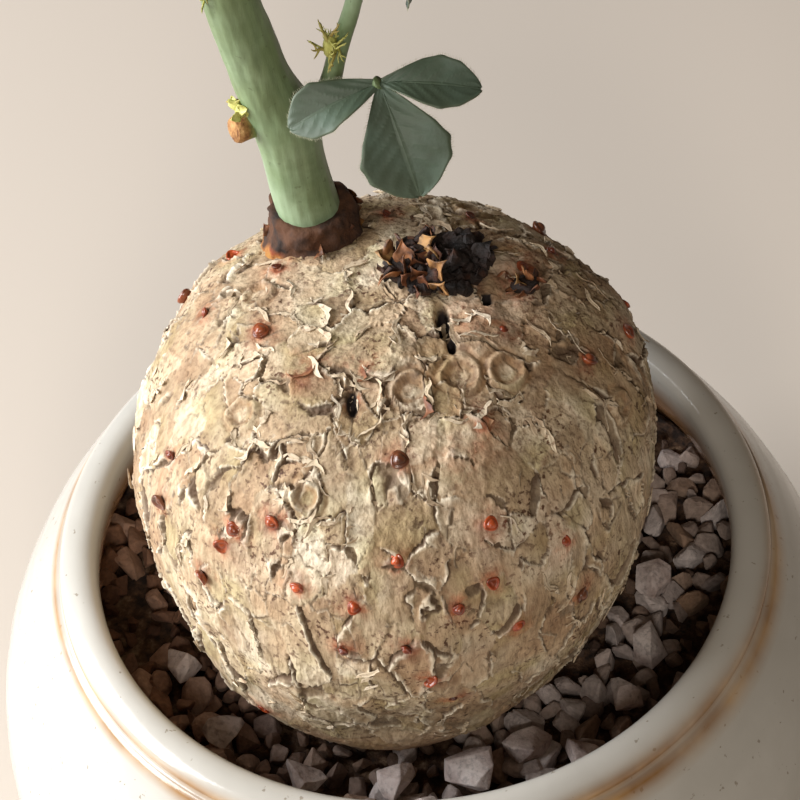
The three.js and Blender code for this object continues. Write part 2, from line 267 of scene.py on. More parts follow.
foot = [(6.0, 6.5), (6.0, 4.5), (6.4, 2.6), (18, 2.5), (30.8, 2.5), (31.6, 1.8), (32.2, 0.4), (33.2, 0.0),
        (35.4, 0.0), (36.4, 0.5)]
wall = [(37.2, 1.8), (42, 9), (49, 23), (54.4, 39), (BELLY, 54), (54.5, 66), (50.6, 76), (47.0, 82.2),
        (45.7, 84.1)]
lip = [(45.35, 84.65), (45.0, 84.75), (44.75, 85.2), (LIP_OUT + 0.15, 85.75), (LIP_OUT, 86.5),
       (43.9, 87.35), (42.7, 87.9),
       (41.6, RIM_Z), (40.7, 87.7), (40.1, 86.9), (MOUTH - 0.1, 85.6)]
inside = [(40.1, 83), (41.0, 79.5), (44.2, 74), (48.6, 67), (51.3, 56), (50.6, 42), (46, 25), (38.5, 11.5),
          (33, 7.1), (29, 6.6), (8, 6.5)]
profile = np.vstack([foot, smooth_line(wall, 70), smooth_line(lip, 44), smooth_line(inside, 60)])
turn = np.linspace(0, 2 * math.pi, POT_AROUND, endpoint=False)
radius, height = (np.repeat(profile[:, k, None], POT_AROUND, axis=1) for k in (0, 1))
angle = np.repeat(turn[None], len(profile), axis=0)
surface = np.stack([radius * np.cos(angle), radius * np.sin(angle), height], axis=-1).reshape(-1, 3)
on_wall = np.clip((surface[:, 2] - 3) / 4, 0, 1)
wobble = THROWING_RINGS * np.sin(surface[:, 2] * 1.9 + 0.8
                                 * lattice_noise(surface, 0.03, 3)) * np.clip((84 - surface[:, 2]) / 3, 0, 1)
wobble = (wobble + 0.22 * lattice_noise(surface, 0.022, 5)) * on_wall
outward = np.stack([np.cos(angle), np.sin(angle)], axis=-1).reshape(-1, 2)
surface[:, :2] += outward * wobble[:, None]
pot_faces = ring_grid(POT_AROUND, len(profile), closed_rows=True)
pot = new_mesh("pot_body", surface * MM, pot_faces)

first_lip = len(foot) + 70
EDGES = ((LIP_OUT + 0.15, 85.8), (45.8, 84.2))
thin = np.zeros(len(surface))
flat_radius = radius.reshape(-1)
flat_height = height.reshape(-1)
for edge_radius, edge_z in EDGES:
    width = EDGE_WIDTH * (1 + 0.5 * lattice_noise(surface, 0.06, 9))
    reach = np.hypot(flat_radius - edge_radius, flat_height - edge_z)
    thin = np.maximum(thin, np.exp(-(reach / width) ** 2))
inner_side = (np.arange(len(surface)) // POT_AROUND) > first_lip + 33
# Painted shade: inside the neck the glaze darkens to tan-brown, deeper the further down from the lip.
neck_shade = np.clip((86.4 - flat_height) / 4, 0, 1) * inner_side
bare = np.clip((2.2 - flat_height + 0.5 * lattice_noise(surface, 0.1, 4)) / 0.6, 0, 1) * ~inner_side


def mark(piece, name, values):
    """Stores one value for each point of a mesh object, for its material to read."""
    layer = piece.data.attributes.new(name, "FLOAT", "POINT")
    layer.data.foreach_set("value", np.asarray(values).astype(np.float32))


for name, values in (("thin_glaze", thin), ("neck_shade", neck_shade), ("bare_clay", bare)):
    mark(pot, name, values)

glaze = Finish("glaze", roughness=0.2, Specular_IOR_Level=0.55)
cloud = glaze.ramp(glaze.noise(38, 3), (0.35, linear(182, 179, 171)), (0.65, linear(195, 193, 186)))
speck = glaze.ramp(glaze.noise(900, 2), (0.27, linear(150, 128, 98)), (0.31, (1, 1, 1, 1)))
white = glaze.mix(0.55, cloud, speck, "MULTIPLY")
tan = glaze.ramp(glaze.noise(120, 3), (0.35, linear(142, 104, 62)), (0.65, linear(184, 146, 96)))
broken = glaze.math("MULTIPLY", glaze.attribute("thin_glaze"),
                    glaze.ramp(glaze.noise(70, 4), (0.3, 0.62), (0.55, 1.0)))
# The white glaze is mixed towards tan-brown inside the neck: this is painted shade.
neck_shaded_glaze = glaze.mix(glaze.attribute("neck_shade"), white,
                       glaze.ramp(glaze.noise(60, 3), (0.3, linear(124, 84, 50)),
                                  (0.7, linear(154, 114, 74))))
edged = glaze.mix(broken, neck_shaded_glaze, tan)
clay = glaze.ramp(glaze.noise(420, 5), (0.3, linear(168, 136, 104)), (0.7, linear(196, 166, 132)))
glaze.color(glaze.mix(glaze.attribute("bare_clay"), edged, clay))
glaze.rough(glaze.ramp(glaze.attribute("bare_clay"), (0.2, 0.17), (0.8, 0.85)))
glaze.bump(glaze.noise(160, 3), 0.00018, 0.6)
pot.data.materials.append(glaze.material)
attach(pot, "root")
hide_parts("pot")


# ---- Drain screen, drainage stones and potting mix ------------------------------------------------
# A square-meshed plastic screen over the drain hole, a layer of pumice, and a gritty mix round the root.
# All three stay as the CAD has them, inside the pot, and get their own finishes.
def finish_node(node, finish):
    """Gives a carried-over CAD node its finished material."""
    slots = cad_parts[node].data.materials
    slots.clear()
    slots.append(finish.material)


screen = Finish("screen_plastic", roughness=0.55)
screen.color(screen.ramp(screen.noise(300, 2), (0.3, linear(44, 58, 46)), (0.7, linear(58, 74, 60))))
screen.bump(screen.noise(900, 2), 0.0001, 0.3)
finish_node("drain_screen", screen)

pumice = Finish("pumice", roughness=0.95)
pumice.color(pumice.ramp(pumice.noise(260, 6), (0.35, linear(150, 138, 120)), (0.65, linear(214, 205, 188))))
pumice.bump(pumice.noise(500, 6), 0.001)
finish_node("drainage_stones", pumice)

mix = Finish("soil", roughness=0.95)
mix.color(mix.ramp(mix.noise(520, 6), (0.38, linear(36, 24, 17)), (0.55, linear(82, 58, 40)),
                   (0.72, linear(140, 116, 92))))
mix.bump(mix.noise(700, 6), 0.001)
finish_node("potting_mix", mix)


# ---- Gravel ---------------------------------------------------------------------------------------
# A dressing of crushed gravel, 2 to 5 mm, brown, grey and buff, heaped on the dark mix between root and pot.
# The grains are scattered over the bed by a geometry tree, and a rough dark bed shows between them.
BED_IN, BED_OUT = 15.5, 46.6
bed_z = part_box("gravel_bed")[1].z / MM
GRAINS_PER_MM2 = 0.3
GRAIN_GAP = 2.0


def crushed_stone(name, seed, half_sizes, corners, bevel, steps=1):
    """An angular stone round the origin: the hull of random corners on an ellipsoid, with its edges worn."""
    random = np.random.default_rng(seed)
    directions = random.normal(size=(corners, 3))
    directions /= np.linalg.norm(directions, axis=1)[:, None]
    points = directions * half_sizes * random.uniform(0.86, 1.12, (corners, 1))
    shape = bmesh.new()
    for point in points:
        shape.verts.new(point)
    hull = bmesh.ops.convex_hull(shape, input=shape.verts)
    loose = {item for item in hull["geom_interior"] + hull["geom_unused"]
             if isinstance(item, bmesh.types.BMVert)}
    bmesh.ops.delete(shape, geom=[v for v in loose if v.is_valid], context="VERTS")
    bmesh.ops.bevel(shape, geom=shape.edges[:], offset=bevel, segments=steps, affect="EDGES", profile=0.6,
                    clamp_overlap=True)
    bmesh.ops.recalc_face_normals(shape, faces=shape.faces[:])
    mesh = bpy.data.meshes.new(name)
    shape.to_mesh(mesh)
    shape.free()
    made = bpy.data.objects.new(name, mesh)
    bpy.context.collection.objects.link(made)
    return made


def geometry_tree(name, *inputs):
    """A geometry tree with a host input, named inputs and an output, and its start and end nodes."""
    tree = bpy.data.node_groups.new(name, "GeometryNodeTree")
    tree.interface.new_socket("Host", in_out="INPUT", socket_type="NodeSocketGeometry")
    for label, kind, value in inputs:
        tree.interface.new_socket(label, in_out="INPUT",
                                  socket_type="NodeSocket" + kind).default_value = value
    tree.interface.new_socket("Made", in_out="OUTPUT", socket_type="NodeSocketGeometry")
    return tree, tree.nodes.new("NodeGroupInput"), tree.nodes.new("NodeGroupOutput")


def tree_node(tree, kind, links=(), **values):
    """Adds a node; links maps its input names to sockets or values, and values sets its properties."""
    node = tree.nodes.new(kind)
    for key, value in values.items():
        setattr(node, key, value)
    for key, value in dict(links).items():
        socket = node.inputs[key]
        if hasattr(value, "links"):
            tree.links.new(value, socket)
        else:
            socket.default_value = value
    return node


def grown(host, tree, name, **sizes):
    """Runs a geometry tree on a host, keeps what it makes as a plain mesh object, and takes the host away."""
    modifier = host.modifiers.new(name, "NODES")
    modifier.node_group = tree
    for item in tree.interface.items_tree:
        if item.in_out == "INPUT" and item.name.replace(" ", "_").lower() in sizes:
            modifier[item.identifier] = sizes[item.name.replace(" ", "_").lower()]
    depsgraph = bpy.context.evaluated_depsgraph_get()
    mesh = bpy.data.meshes.new_from_object(host.evaluated_get(depsgraph), depsgraph=depsgraph)
    made = bpy.data.objects.new(name, mesh)
    bpy.context.collection.objects.link(made)
    host.modifiers.remove(modifier)
    bpy.data.objects.remove(host)
    return made


def scatter_tree(name, shapes, material):
    """Scatters shapes over the host's faces, turned and sized at random, and keeps them as real faces."""
    tree, start, end = geometry_tree(name, ("Density", "Float", 1e5), ("Gap", "Float", 0.002),
                                     ("Smallest", "Float", 0.6), ("Largest", "Float", 1.3),
                                     ("Seed", "Int", 1))
    join = tree_node(tree, "GeometryNodeGeometryToInstance")
    for shape in shapes:
        info = tree_node(tree, "GeometryNodeObjectInfo", {"Object": shape})
        tree.links.new(info.outputs["Geometry"], join.inputs[0])
    points = tree_node(tree, "GeometryNodeDistributePointsOnFaces",
                       {"Mesh": start.outputs["Host"], "Distance Min": start.outputs["Gap"],
                        "Density Max": start.outputs["Density"], "Seed": start.outputs["Seed"]},
                       distribute_method="POISSON")
    spin = tree_node(tree, "FunctionNodeRandomValue", {"Seed": start.outputs["Seed"]},
                     data_type="FLOAT_VECTOR")
    spin.inputs[1].default_value = (6.283, 6.283, 6.283)
    size = tree_node(tree, "FunctionNodeRandomValue", {"Seed": start.outputs["Seed"]}, data_type="FLOAT")
    tree.links.new(start.outputs["Smallest"], size.inputs[2])
    tree.links.new(start.outputs["Largest"], size.inputs[3])
    pick = tree_node(tree, "FunctionNodeRandomValue", {"Seed": start.outputs["Seed"]}, data_type="INT")
    pick.inputs[4].default_value = 0
    pick.inputs[5].default_value = len(shapes) - 1
    place = tree_node(tree, "GeometryNodeInstanceOnPoints",
                      {"Points": points.outputs["Points"], "Instance": join.outputs[0], "Pick Instance": True,
                       "Instance Index": pick.outputs[2], "Rotation": spin.outputs[0],
                       "Scale": size.outputs[1]})
    tint = tree_node(tree, "FunctionNodeRandomValue", {"Seed": start.outputs["Seed"]}, data_type="FLOAT")
    tinted = tree_node(tree, "GeometryNodeStoreNamedAttribute",
                       {"Geometry": place.outputs["Instances"], "Name": "tint", "Value": tint.outputs[1]},
                       data_type="FLOAT", domain="INSTANCE")
    real = tree_node(tree, "GeometryNodeRealizeInstances", {"Geometry": tinted.outputs["Geometry"]})
    coated = tree_node(tree, "GeometryNodeSetMaterial",
                       {"Geometry": real.outputs["Geometry"], "Material": material})
    tree.links.new(coated.outputs["Geometry"], end.inputs["Made"])
    return tree


def bed_surface(inner, outer, z, rough):
    """A ring-shaped sheet of points, uneven by the given height, as rows from inside to outside."""
    rows, around = 46, 200
    r = np.repeat(np.linspace(inner, outer, rows)[:, None], around, axis=1)
    a = np.repeat(np.linspace(0, 2 * math.pi, around, endpoint=False)[None], rows, axis=0)
    points = np.stack([r * np.cos(a), r * np.sin(a), np.full_like(r, z)], axis=-1).reshape(-1, 3)
    points[:, 2] += rough * lattice_noise(points, 0.55, 21) + 0.5 * rough * lattice_noise(points, 1.4, 22)
    return points, rows, around


stone_finish = Finish("gravel", roughness=0.85)
tint = stone_finish.attribute("tint")
kinds = stone_finish.ramp(tint, (0.0, linear(74, 56, 46)), (0.18, linear(124, 100, 82)),
                          (0.34, linear(168, 152, 142)),
                          (0.5, linear(112, 92, 80)), (0.64, linear(198, 188, 184)),
                          (0.8, linear(150, 122, 98)), (1.0, linear(214, 207, 205)))
grit = stone_finish.ramp(stone_finish.noise(1400, 5), (0.3, 0.62), (0.7, 1.0))
# Painted shade: the stones are darkened and warmed towards the left side of the bed.
stone_place = stone_finish.add("ShaderNodeSeparateXYZ")
stone_finish.link(stone_finish.place, stone_place.inputs[0])
left_side_shade = stone_finish.math("MULTIPLY", stone_finish.math("ADD", stone_place.outputs["X"], 0.012), -45.0)
left_side_shade_share = stone_finish.ramp(left_side_shade, (0.0, 0.12), (0.9, 0.85))
kinds = stone_finish.mix(left_side_shade_share, kinds, stone_finish.mix(1.0, kinds, linear(214, 168, 132), "MULTIPLY"))
stone_finish.color(stone_finish.mix(1.0, kinds, grit, "MULTIPLY"))
stone_finish.bump(stone_finish.noise(1900, 5), 0.0003, 0.8)

bed_points, bed_rows, bed_around = bed_surface(BED_IN, BED_OUT, bed_z - 1.6, 0.5)
under_points = bed_points.reshape(bed_rows, bed_around, 3)[::-1].reshape(-1, 3).copy()
under_points[:, 2] = bed_z - 3.4
bed_faces = ring_grid(bed_around, bed_rows * 2, closed_rows=True)[:, ::-1]
gravel_bed = new_mesh("gravel_under", np.vstack([bed_points, under_points]) * MM, bed_faces)
gravel_bed.data.materials.append(mix.material)
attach(gravel_bed, "root")
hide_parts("gravel_bed")

grain_shapes = [crushed_stone(f"grain_{k}", 40 + k, np.array([2.1, 1.7, 1.4]) * MM, 13, 0.18 * MM)
                for k in range(7)]
heap_points, heap_rows, heap_around = bed_surface(BED_IN + 2.2, BED_OUT - 2.2, bed_z - 0.3, 0.45)
heap = new_mesh("heap", heap_points * MM, ring_grid(heap_around, heap_rows, closed_rows=False))
gravel = grown(heap, scatter_tree("scatter_gravel", grain_shapes, stone_finish.material), "gravel_grains",
               density=GRAINS_PER_MM2 / MM ** 2, gap=GRAIN_GAP * MM, smallest=0.55, largest=1.5, seed=4)
for shape in grain_shapes:
    bpy.data.objects.remove(shape)
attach(gravel, "root")


# ---- Pale stones ------------------------------------------------------------------------------------
# The larger stones of the dressing: crushed, pale grey to pinkish white, 5 to 8 mm, each lying on the gravel.
pale = Finish("pale_stone", roughness=0.8)
vein = pale.ramp(pale.noise(240, 5), (0.3, linear(158, 138, 130)), (0.5, linear(200, 186, 180)),
                 (0.7, linear(226, 216, 210)))
fleck = pale.ramp(pale.noise(1500, 4), (0.32, 0.55), (0.5, 1.0))
pale.color(pale.mix(0.8, vein, fleck, "MULTIPLY"))
pale.bump(pale.noise(1300, 5), 0.0003, 0.8)

STONE_GROWTH = 1.2
for number, node in enumerate(sorted(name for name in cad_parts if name.startswith("stone_"))):
    low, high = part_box(node)
    half = (high - low) / 2
    stone = crushed_stone(node + "_crushed", 100 + number, np.array(half) * STONE_GROWTH, 15, 0.3 * MM,
                          steps=2)
    stone.data.transform(Matrix.Translation((low + high) / 2))
    stone.data.polygons.foreach_set("use_smooth", [False] * len(stone.data.polygons))
    stone.data.materials.append(pale.material)
    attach(stone, "root")
    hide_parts(node)


# ---- Caudex -----------------------------------------------------------------------------------------
# The swollen base of the plant, a grown, slightly lopsided ball that runs down into a tap root in the mix.
# Its papery bark has split into plates: their edges lift and curl, with a painted highlight along them and
# painted shadow in the cracks, and an olive-brown layer shows between.
# Round leaf scars, a split beside the sunken crown, and reddish stains round the buds break the plates up.
# Round its top, mostly on the right, the bark is browned as painted shade.
CAUDEX_X, CAUDEX_Y = -1.5, -2.4
LEAN, LEAN_Z = 0.066, 100
COLUMNS, ROWS = 760, 350
FRONT_CROWDING = 0.42
PLATE_SIZE = 3.7
PLATE_STRETCH = 2.9
BARK_FACES = 192000
bark_random = np.random.default_rng(11)

caudex_line = smooth_line([(0.0, 133.2), (4.2, 133.1), (8.5, 132.8), (17.5, 130.4), (25, 125), (29.4, 118),
                           (31.3, 110),
                           (31, 102), (29.3, 94), (26.8, 86), (23.4, 78), (18.8, 70.5), (14.6, 64.5),
                           (10, 57),
                           (6.5, 48), (4, 38), (2.4, 29), (0.9, 26.6), (0, 26)], 900)
arc_along = np.concatenate([[0], np.cumsum(np.linalg.norm(np.diff(caudex_line, axis=0), axis=1))])


def caudex_surface(turn, arc):
    """Points and outward normals of the smooth caudex, by turn round it and length down from its crown."""
    r, z = (np.interp(arc, arc_along, caudex_line[:, k]) for k in (0, 1))
    ahead, behind = np.clip(arc + 0.4, 0, arc_along[-1]), np.clip(arc - 0.4, 0, arc_along[-1])
    run, rise = (np.interp(ahead, arc_along, caudex_line[:, k])
                 - np.interp(behind, arc_along, caudex_line[:, k]) for k in (0, 1))
    size = np.hypot(run, rise)
    swell = 1 + 0.012 * np.sin(3 * turn + z / 9) + 0.009 * np.sin(5 * turn - z / 7)
    place = np.stack([r * np.cos(turn) * swell + CAUDEX_X + LEAN * (z - LEAN_Z),
                      r * np.sin(turn) * swell + CAUDEX_Y, z], axis=-1)
    normal = np.stack([-rise / size * np.cos(turn), -rise / size * np.sin(turn), run / size], axis=-1)
    return place, normal


def scattered(key, salt):
    """Repeatable random values from 0 to 1 for an array of whole-number keys."""
    value = (key + salt * 7919) * 2654435761 & 0xFFFFFFFF
    value = (value ^ (value >> 15)) * 2246822519 & 0xFFFFFFFF
    return (value ^ (value >> 13)) % 65521 / 65521.0


def plates(points, size, seed):
    """Splits space into cells: distance to the border, cell, neighbour, place in it, way to the neighbour."""
    place = points / size
    cell = np.floor(place).astype(np.int64)
    nearest = np.full(len(points), 1e9)
    second = np.full(len(points), 1e9)
    own, other = np.zeros((2, len(points)), dtype=np.int64)
    own_middle, other_middle = np.zeros((2, len(points), 3))
    for step in np.ndindex(3, 3, 3):
        near = cell + np.array(step) - 1
        key = near @ np.array([92837111, 689287499, 283923481]) + seed * 1013
        middle = near + 0.12 + 0.76 * np.stack([scattered(key, k) for k in (1, 2, 3)], axis=-1)
        apart = ((place - middle) ** 2).sum(axis=1)
        first = apart < nearest
        later = ~first & (apart < second)
        second = np.where(first, nearest, np.where(later, apart, second))
        other = np.where(first, own, np.where(later, key, other))
        other_middle = np.where(first[:, None], own_middle, np.where(later[:, None], middle, other_middle))
        nearest = np.where(first, apart, nearest)
        own = np.where(first, key, own)
        own_middle = np.where(first[:, None], middle, own_middle)
    gap = np.linalg.norm(own_middle - other_middle, axis=1) + 1e-6
    return (second - nearest) / (2 * gap) * size, own, other, place - own_middle, other_middle - own_middle


def bump_at(place, turn_degrees, arc, width):
    """A smooth hump, 1 at a place on the caudex and falling away over the given width."""
    middle, _ = caudex_surface(np.radians(np.array([turn_degrees])), np.array([arc]))
    return np.exp(-(np.linalg.norm(place - middle, axis=1) / width) ** 2)


column = np.arange(COLUMNS) / COLUMNS * 2 * math.pi
column_turn = column + FRONT_CROWDING * np.sin(column + math.pi / 2 + math.pi) 
buried = np.linspace(84, arc_along[-1] - 0.3, 40)
row_arc = np.concatenate([np.linspace(0.25, 84, ROWS - 40, endpoint=False), buried])
turn_all = np.repeat(column_turn[None], ROWS, axis=0).reshape(-1)
arc_all = np.repeat(row_arc[:, None], COLUMNS, axis=1).reshape(-1)
smooth_place, outward = caudex_surface(turn_all, arc_all)

# Soft lumps first, then the bark: two sizes of plates, warped so that no border runs straight.
lumps = 0.5 * lattice_noise(smooth_place, 0.085, 31) + 0.3 * lattice_noise(smooth_place, 0.19, 32)
warp = np.stack([1.1 * lattice_noise(smooth_place, 0.16, k) + 0.38 * lattice_noise(smooth_place, 0.6, k + 3)
                 + 0.15 * lattice_noise(smooth_place, 2.2, k + 6) for k in (41, 42, 43)], axis=-1)
warped = smooth_place + warp
stretch = np.array([1, 1, 1 / PLATE_STRETCH])
border, own, other, from_middle, to_neighbour = plates(warped * stretch, PLATE_SIZE, 5)
fine_border, fine_own, fine_other, _, _ = plates((smooth_place + 0.6 * warp) * np.array([1, 1, 0.46]), 2.5, 8)

height_z = smooth_place[:, 2]
above_bed = np.clip((height_z - 70) / 8, 0, 1)
flaky = np.clip((height_z - 74) / 16, 0.12,
                1) * np.clip(1.25 - 0.5 * np.abs(lattice_noise(smooth_place, 0.09, 51)), 0, 1)
pair = own * 31 ^ other * 31
kind = scattered(np.abs(pair), 3)
leads = scattered(own, 5) > scattered(other, 5)
wide = np.clip((kind - 0.8) / 0.1, 0, 1)
cracked = np.clip((kind - 0.22) / 0.1, 0, 1) * np.clip(0.75 + 1.2 * lattice_noise(smooth_place, 0.35, 54),
                                                       0, 1)
gap_width = (0.14 + 0.5 * wide * (0.6 + 0.6 * lattice_noise(smooth_place, 0.5, 52))) * cracked
in_gap = np.clip((gap_width - border) / 0.1, 0, 1) * flaky
# Along the cracks: a shallow groove, and a painted shadow under the lifted edges.
crack_groove_and_shadow = np.exp(-(border / 0.17) ** 2) * cracked * flaky
edge_lift = np.exp(-np.clip(border - gap_width, 0, None) / 0.26) * cracked * np.where(leads, 1.0, 0.2) * flaky
own_rise = scattered(own, 7) - 0.5
other_rise = scattered(other, 7) - 0.5
meet = 0.5 * np.exp(-border / np.where(cracked > 0.5, 0.15, 0.9))
plate_rise = own_rise * (1 - meet) + other_rise * meet
tilt = (from_middle[:, 2] * (scattered(own, 8) - 0.5) + from_middle[:, 0] * (scattered(own, 9) - 0.5))

fine_kind = scattered(np.abs(fine_own * 17 ^ fine_other * 17), 4)
fine_cracked = np.clip((fine_kind - 0.38) / 0.12, 0,
                       1) * np.clip(0.55 + lattice_noise(smooth_place, 0.16, 53), 0, 1)
fine_gap = np.clip((0.13 - fine_border) / 0.1, 0, 1) * fine_cracked
fine_lift = np.exp(-fine_border
                   / 0.28) * fine_cracked * np.where(scattered(fine_own, 5) > scattered(fine_other, 5), 1,
                                                     0.2)

grain = smooth_place * np.array([1, 1, 0.3])
wrinkle = smooth_place * np.array([0.5, 0.5, 1.0])
low_down = np.clip((90 - height_z) / 14, 0, 1)
fibres = 0.09 * lattice_noise(grain, 1.5, 61) + 0.07 * lattice_noise(grain, 3.2, 62)
creases = 0.1 * np.abs(lattice_noise(wrinkle, 1.3, 63)) + 0.14 * np.abs(lattice_noise(grain, 1.1, 64))
skin = 0.05 * lattice_noise(smooth_place, 2.4, 65)

# Scars of old leaves, each a low ring round a sunken middle, and humps left by old buds.
SCARS = ((-87, 13, 1.9), (-59, 13, 2.1), (-41, 16, 2.0), (-118, 26, 1.5), (-20, 31, 1.6), (-150, 22, 1.7),
         (-8, 52, 1.5),
         (60, 22, 1.9), (118, 30, 2.0), (160, 17, 1.8), (95, 46, 1.6))
HUMPS = ((-76, 22, 4.5, 0.9), (-64, 18, 3, 0.6), (-30, 11, 4, 0.9), (-100, 9, 4, 0.7), (20, 12, 4, 0.8),
         (-140, 12, 5, 0.6),
         (70, 8, 4, 0.7))
scars, scar_rings = np.zeros((2, len(smooth_place)))
calm = np.ones(len(smooth_place))

# Buds: the front ones lie in loose spirals, and a golden-angle spiral carries them on round the back.
FRONT_BUDS = ((-177, 16), (-94, 32), (-136, 36), (-17, 24), (2, 30), (-23, 13), (-162, 33), (-159, 39),
              (-141, 43), (-116, 37),
              (-103, 38), (-105, 45), (-81, 39), (-68, 45), (-92, 44), (-87, 51), (-81, 58), (-131, 70),
              (-134, 33),
              (-125, 30), (-71, 30), (-73, 37), (-54, 37), (-51, 47), (-93, 21))
back_buds = []
for k in range(70):
    bud_turn, bud_arc = (k * 137.5
                         + bark_random.uniform(-8, 8)) % 360 - 180, 12 + 0.85 * k + bark_random.uniform(-2, 2)
    if 8 < bud_turn < 172 and bud_arc < 70:
        back_buds.append((bud_turn, bud_arc))
bud_spots = np.array(list(FRONT_BUDS) + back_buds, dtype=float)
bud_middles, bud_outward = caudex_surface(np.radians(bud_spots[:, 0]), bud_spots[:, 1])
near_bud = np.zeros(len(smooth_place))
for middle in bud_middles:
    close = np.abs(smooth_place - middle).max(axis=1) < 4
    near_bud[close] = np.maximum(near_bud[close],
                                 np.exp(-(np.linalg.norm(smooth_place[close] - middle, axis=1) / 1.25) ** 2))
for scar_turn, scar_arc, scar_size in SCARS:
    middle, _ = caudex_surface(np.radians(np.array([scar_turn])), np.array([scar_arc]))
    reach = np.linalg.norm(smooth_place - middle, axis=1) * (1 + 0.18 * lattice_noise(smooth_place, 0.5, 71))
    scars += (0.42 * np.exp(-((reach - scar_size) / 0.38) ** 2)
              - 0.35 * np.exp(-(reach / (0.75 * scar_size)) ** 2))
    scars -= 0.25 * np.exp(-((reach - scar_size - 0.75) / 0.25) ** 2)
    scar_rings += (np.exp(-((reach - 0.72 * scar_size) / 0.42) ** 2)
                   + 0.7 * np.exp(-((reach - scar_size - 0.8) / 0.3) ** 2))
    scars += 0.16 * np.exp(-((reach - 0.35 * scar_size) / 0.22) ** 2)
    calm *= 1 - 0.8 * np.exp(-(reach / scar_size) ** 4)
for hump_turn, hump_arc, hump_size, rise in HUMPS:
    lumps += rise * bump_at(smooth_place, hump_turn, hump_arc, hump_size)

# The crown: a crumpled hollow round the dead stub, and two splits that open beside it.
SPLITS = ((-35, 6.4, 0.75, 2.3, 3.2), (-50, 9.4, 0.5, 1.1, 1.8), (-4, 10.5, 0.5, 0.9, 1.2),
          (-114, 14.5, 0.6, 1.5, 1.3))
crown, _ = caudex_surface(np.array([0.35]), np.array([9.5]))
from_crown = np.linalg.norm(smooth_place - crown, axis=1)
crumple = np.exp(-(from_crown / 8.5) ** 2)
lumps += crumple * (0.9 * np.abs(lattice_noise(smooth_place, 0.42, 81)) + 0.45
                    * np.abs(lattice_noise(smooth_place, 1.0, 82)) - 0.5)
dark_split = np.zeros(len(smooth_place))
for split_turn, split_arc, half_wide, half_long, depth in SPLITS:
    middle, _ = caudex_surface(np.radians(np.array([split_turn])), np.array([split_arc]))
    across = smooth_place - middle + 0.25 * warp
    reach = np.hypot(np.hypot(across[:, 1], across[:, 2]) / half_long, across[:, 0] / half_wide)
    split = np.clip(1.35 - reach, 0, 1)
    dark_split = np.maximum(dark_split, split)
    lumps -= depth * split ** 0.8

plate_relief = (0.3 * plate_rise * flaky + 0.24 * tilt * flaky + 0.5 * edge_lift - 0.5 * in_gap - 0.15
                * crack_groove_and_shadow) * calm
fine_relief = (0.2 * fine_lift - 0.12 * fine_gap) * (0.35 + 0.65 * flaky) * calm
relief = plate_relief + fine_relief + fibres + skin + creases * (0.4 + low_down) + scars
relief = lumps + relief * (1 - near_bud) + 0.35 * near_bud * np.clip(1 - 1.5 * near_bud ** 4, -1, 1)
relief = relief * above_bed + 0.12 * (1 - above_bed) * lattice_noise(smooth_place, 0.5,
                                                                     66) - 0.25 * (1 - above_bed)
bark_place = smooth_place + outward * relief[:, None]

pole_top = bark_place[:COLUMNS].mean(axis=0)
pole_low = bark_place[-COLUMNS:].mean(axis=0)
skin_faces = ring_grid(COLUMNS, ROWS, closed_rows=False)[:, ::-1].tolist()
last_row = (ROWS - 1) * COLUMNS
top, tip = len(bark_place), len(bark_place) + 1
for k in range(COLUMNS):
    skin_faces.append((top, k, (k + 1) % COLUMNS))
    skin_faces.append((tip, last_row + (k + 1) % COLUMNS, last_row + k))
caudex = new_mesh("caudex_bark", np.vstack([bark_place, pole_top, pole_low]) * MM, skin_faces)

# Painted shade: brown patches round the top of the caudex, mostly on its right side, away from the light.
crown_painted_shade = 0.0
for zone_turn, zone_arc, zone_size, amount in ((-52, 10, 6.5, 0.6), (-95, 12, 5, 0.3), (30, 12, 8, 0.2),
                                               (-58, 22, 5, 0.4), (-15, 20, 9, 0.4)):
    crown_painted_shade = crown_painted_shade + amount * bump_at(smooth_place, zone_turn, zone_arc, zone_size)
crown_painted_shade = crown_painted_shade * np.clip(0.7 + lattice_noise(smooth_place, 0.5, 96), 0, 1.2)
rusty = np.zeros(len(smooth_place))
for stain_turn, stain_arc, stain_size, amount in ((-64, 19.5, 2.6, 0.8), (-144, 13.5, 2.4, 0.9),
                                                  (-114, 10, 2, 0.9), (-76, 22, 3.5, 0.35),
                                                  (-114, 14, 1.4, 1.0), (8, 14, 2.5, 0.7),
                                                  (-30, 9, 5, 0.35), (20, 17, 3, 0.5)):
    rusty = np.maximum(rusty, amount * bump_at(smooth_place, stain_turn, stain_arc, stain_size))
rusty = np.maximum(rusty, 0.95 * np.sqrt(near_bud))
tone = ((scattered(own, 11) - 0.5) * 1.1 + 0.45 * lattice_noise(smooth_place, 0.12, 91)
        + 0.3 * lattice_noise(smooth_place, 0.5, 92))
layers = {
    "under": np.maximum(in_gap * calm, 0.75 * fine_gap),
    # Painted highlight along the lifted plate edges.
    "edge": np.clip(edge_lift * calm + 0.7 * fine_lift, 0, 1),
    "crack_groove_and_shadow": np.clip(crack_groove_and_shadow * calm + 0.35 * fine_gap, 0, 1),
    "brown": np.clip(crown_painted_shade + 0.8 * scar_rings, 0, 1),
    "hue": np.clip(0.5 + 0.5 * (scattered(own, 12) - 0.5) + 0.5 * lattice_noise(smooth_place, 0.3, 95), 0, 1),
    "tone": np.clip(0.5 + 0.5 * tone, 0, 1),
    "rusty": np.clip(rusty + 0.6 * crumple * np.clip(lattice_noise(smooth_place, 0.5, 93), 0, 1), 0, 1),
    "dark": np.clip(dark_split * 1.6 + crumple ** 3 * 0.25, 0, 1),
    "low": np.clip((84 - height_z) / 13 + 0.3 * lattice_noise(smooth_place, 0.2, 94), 0, 1),
}
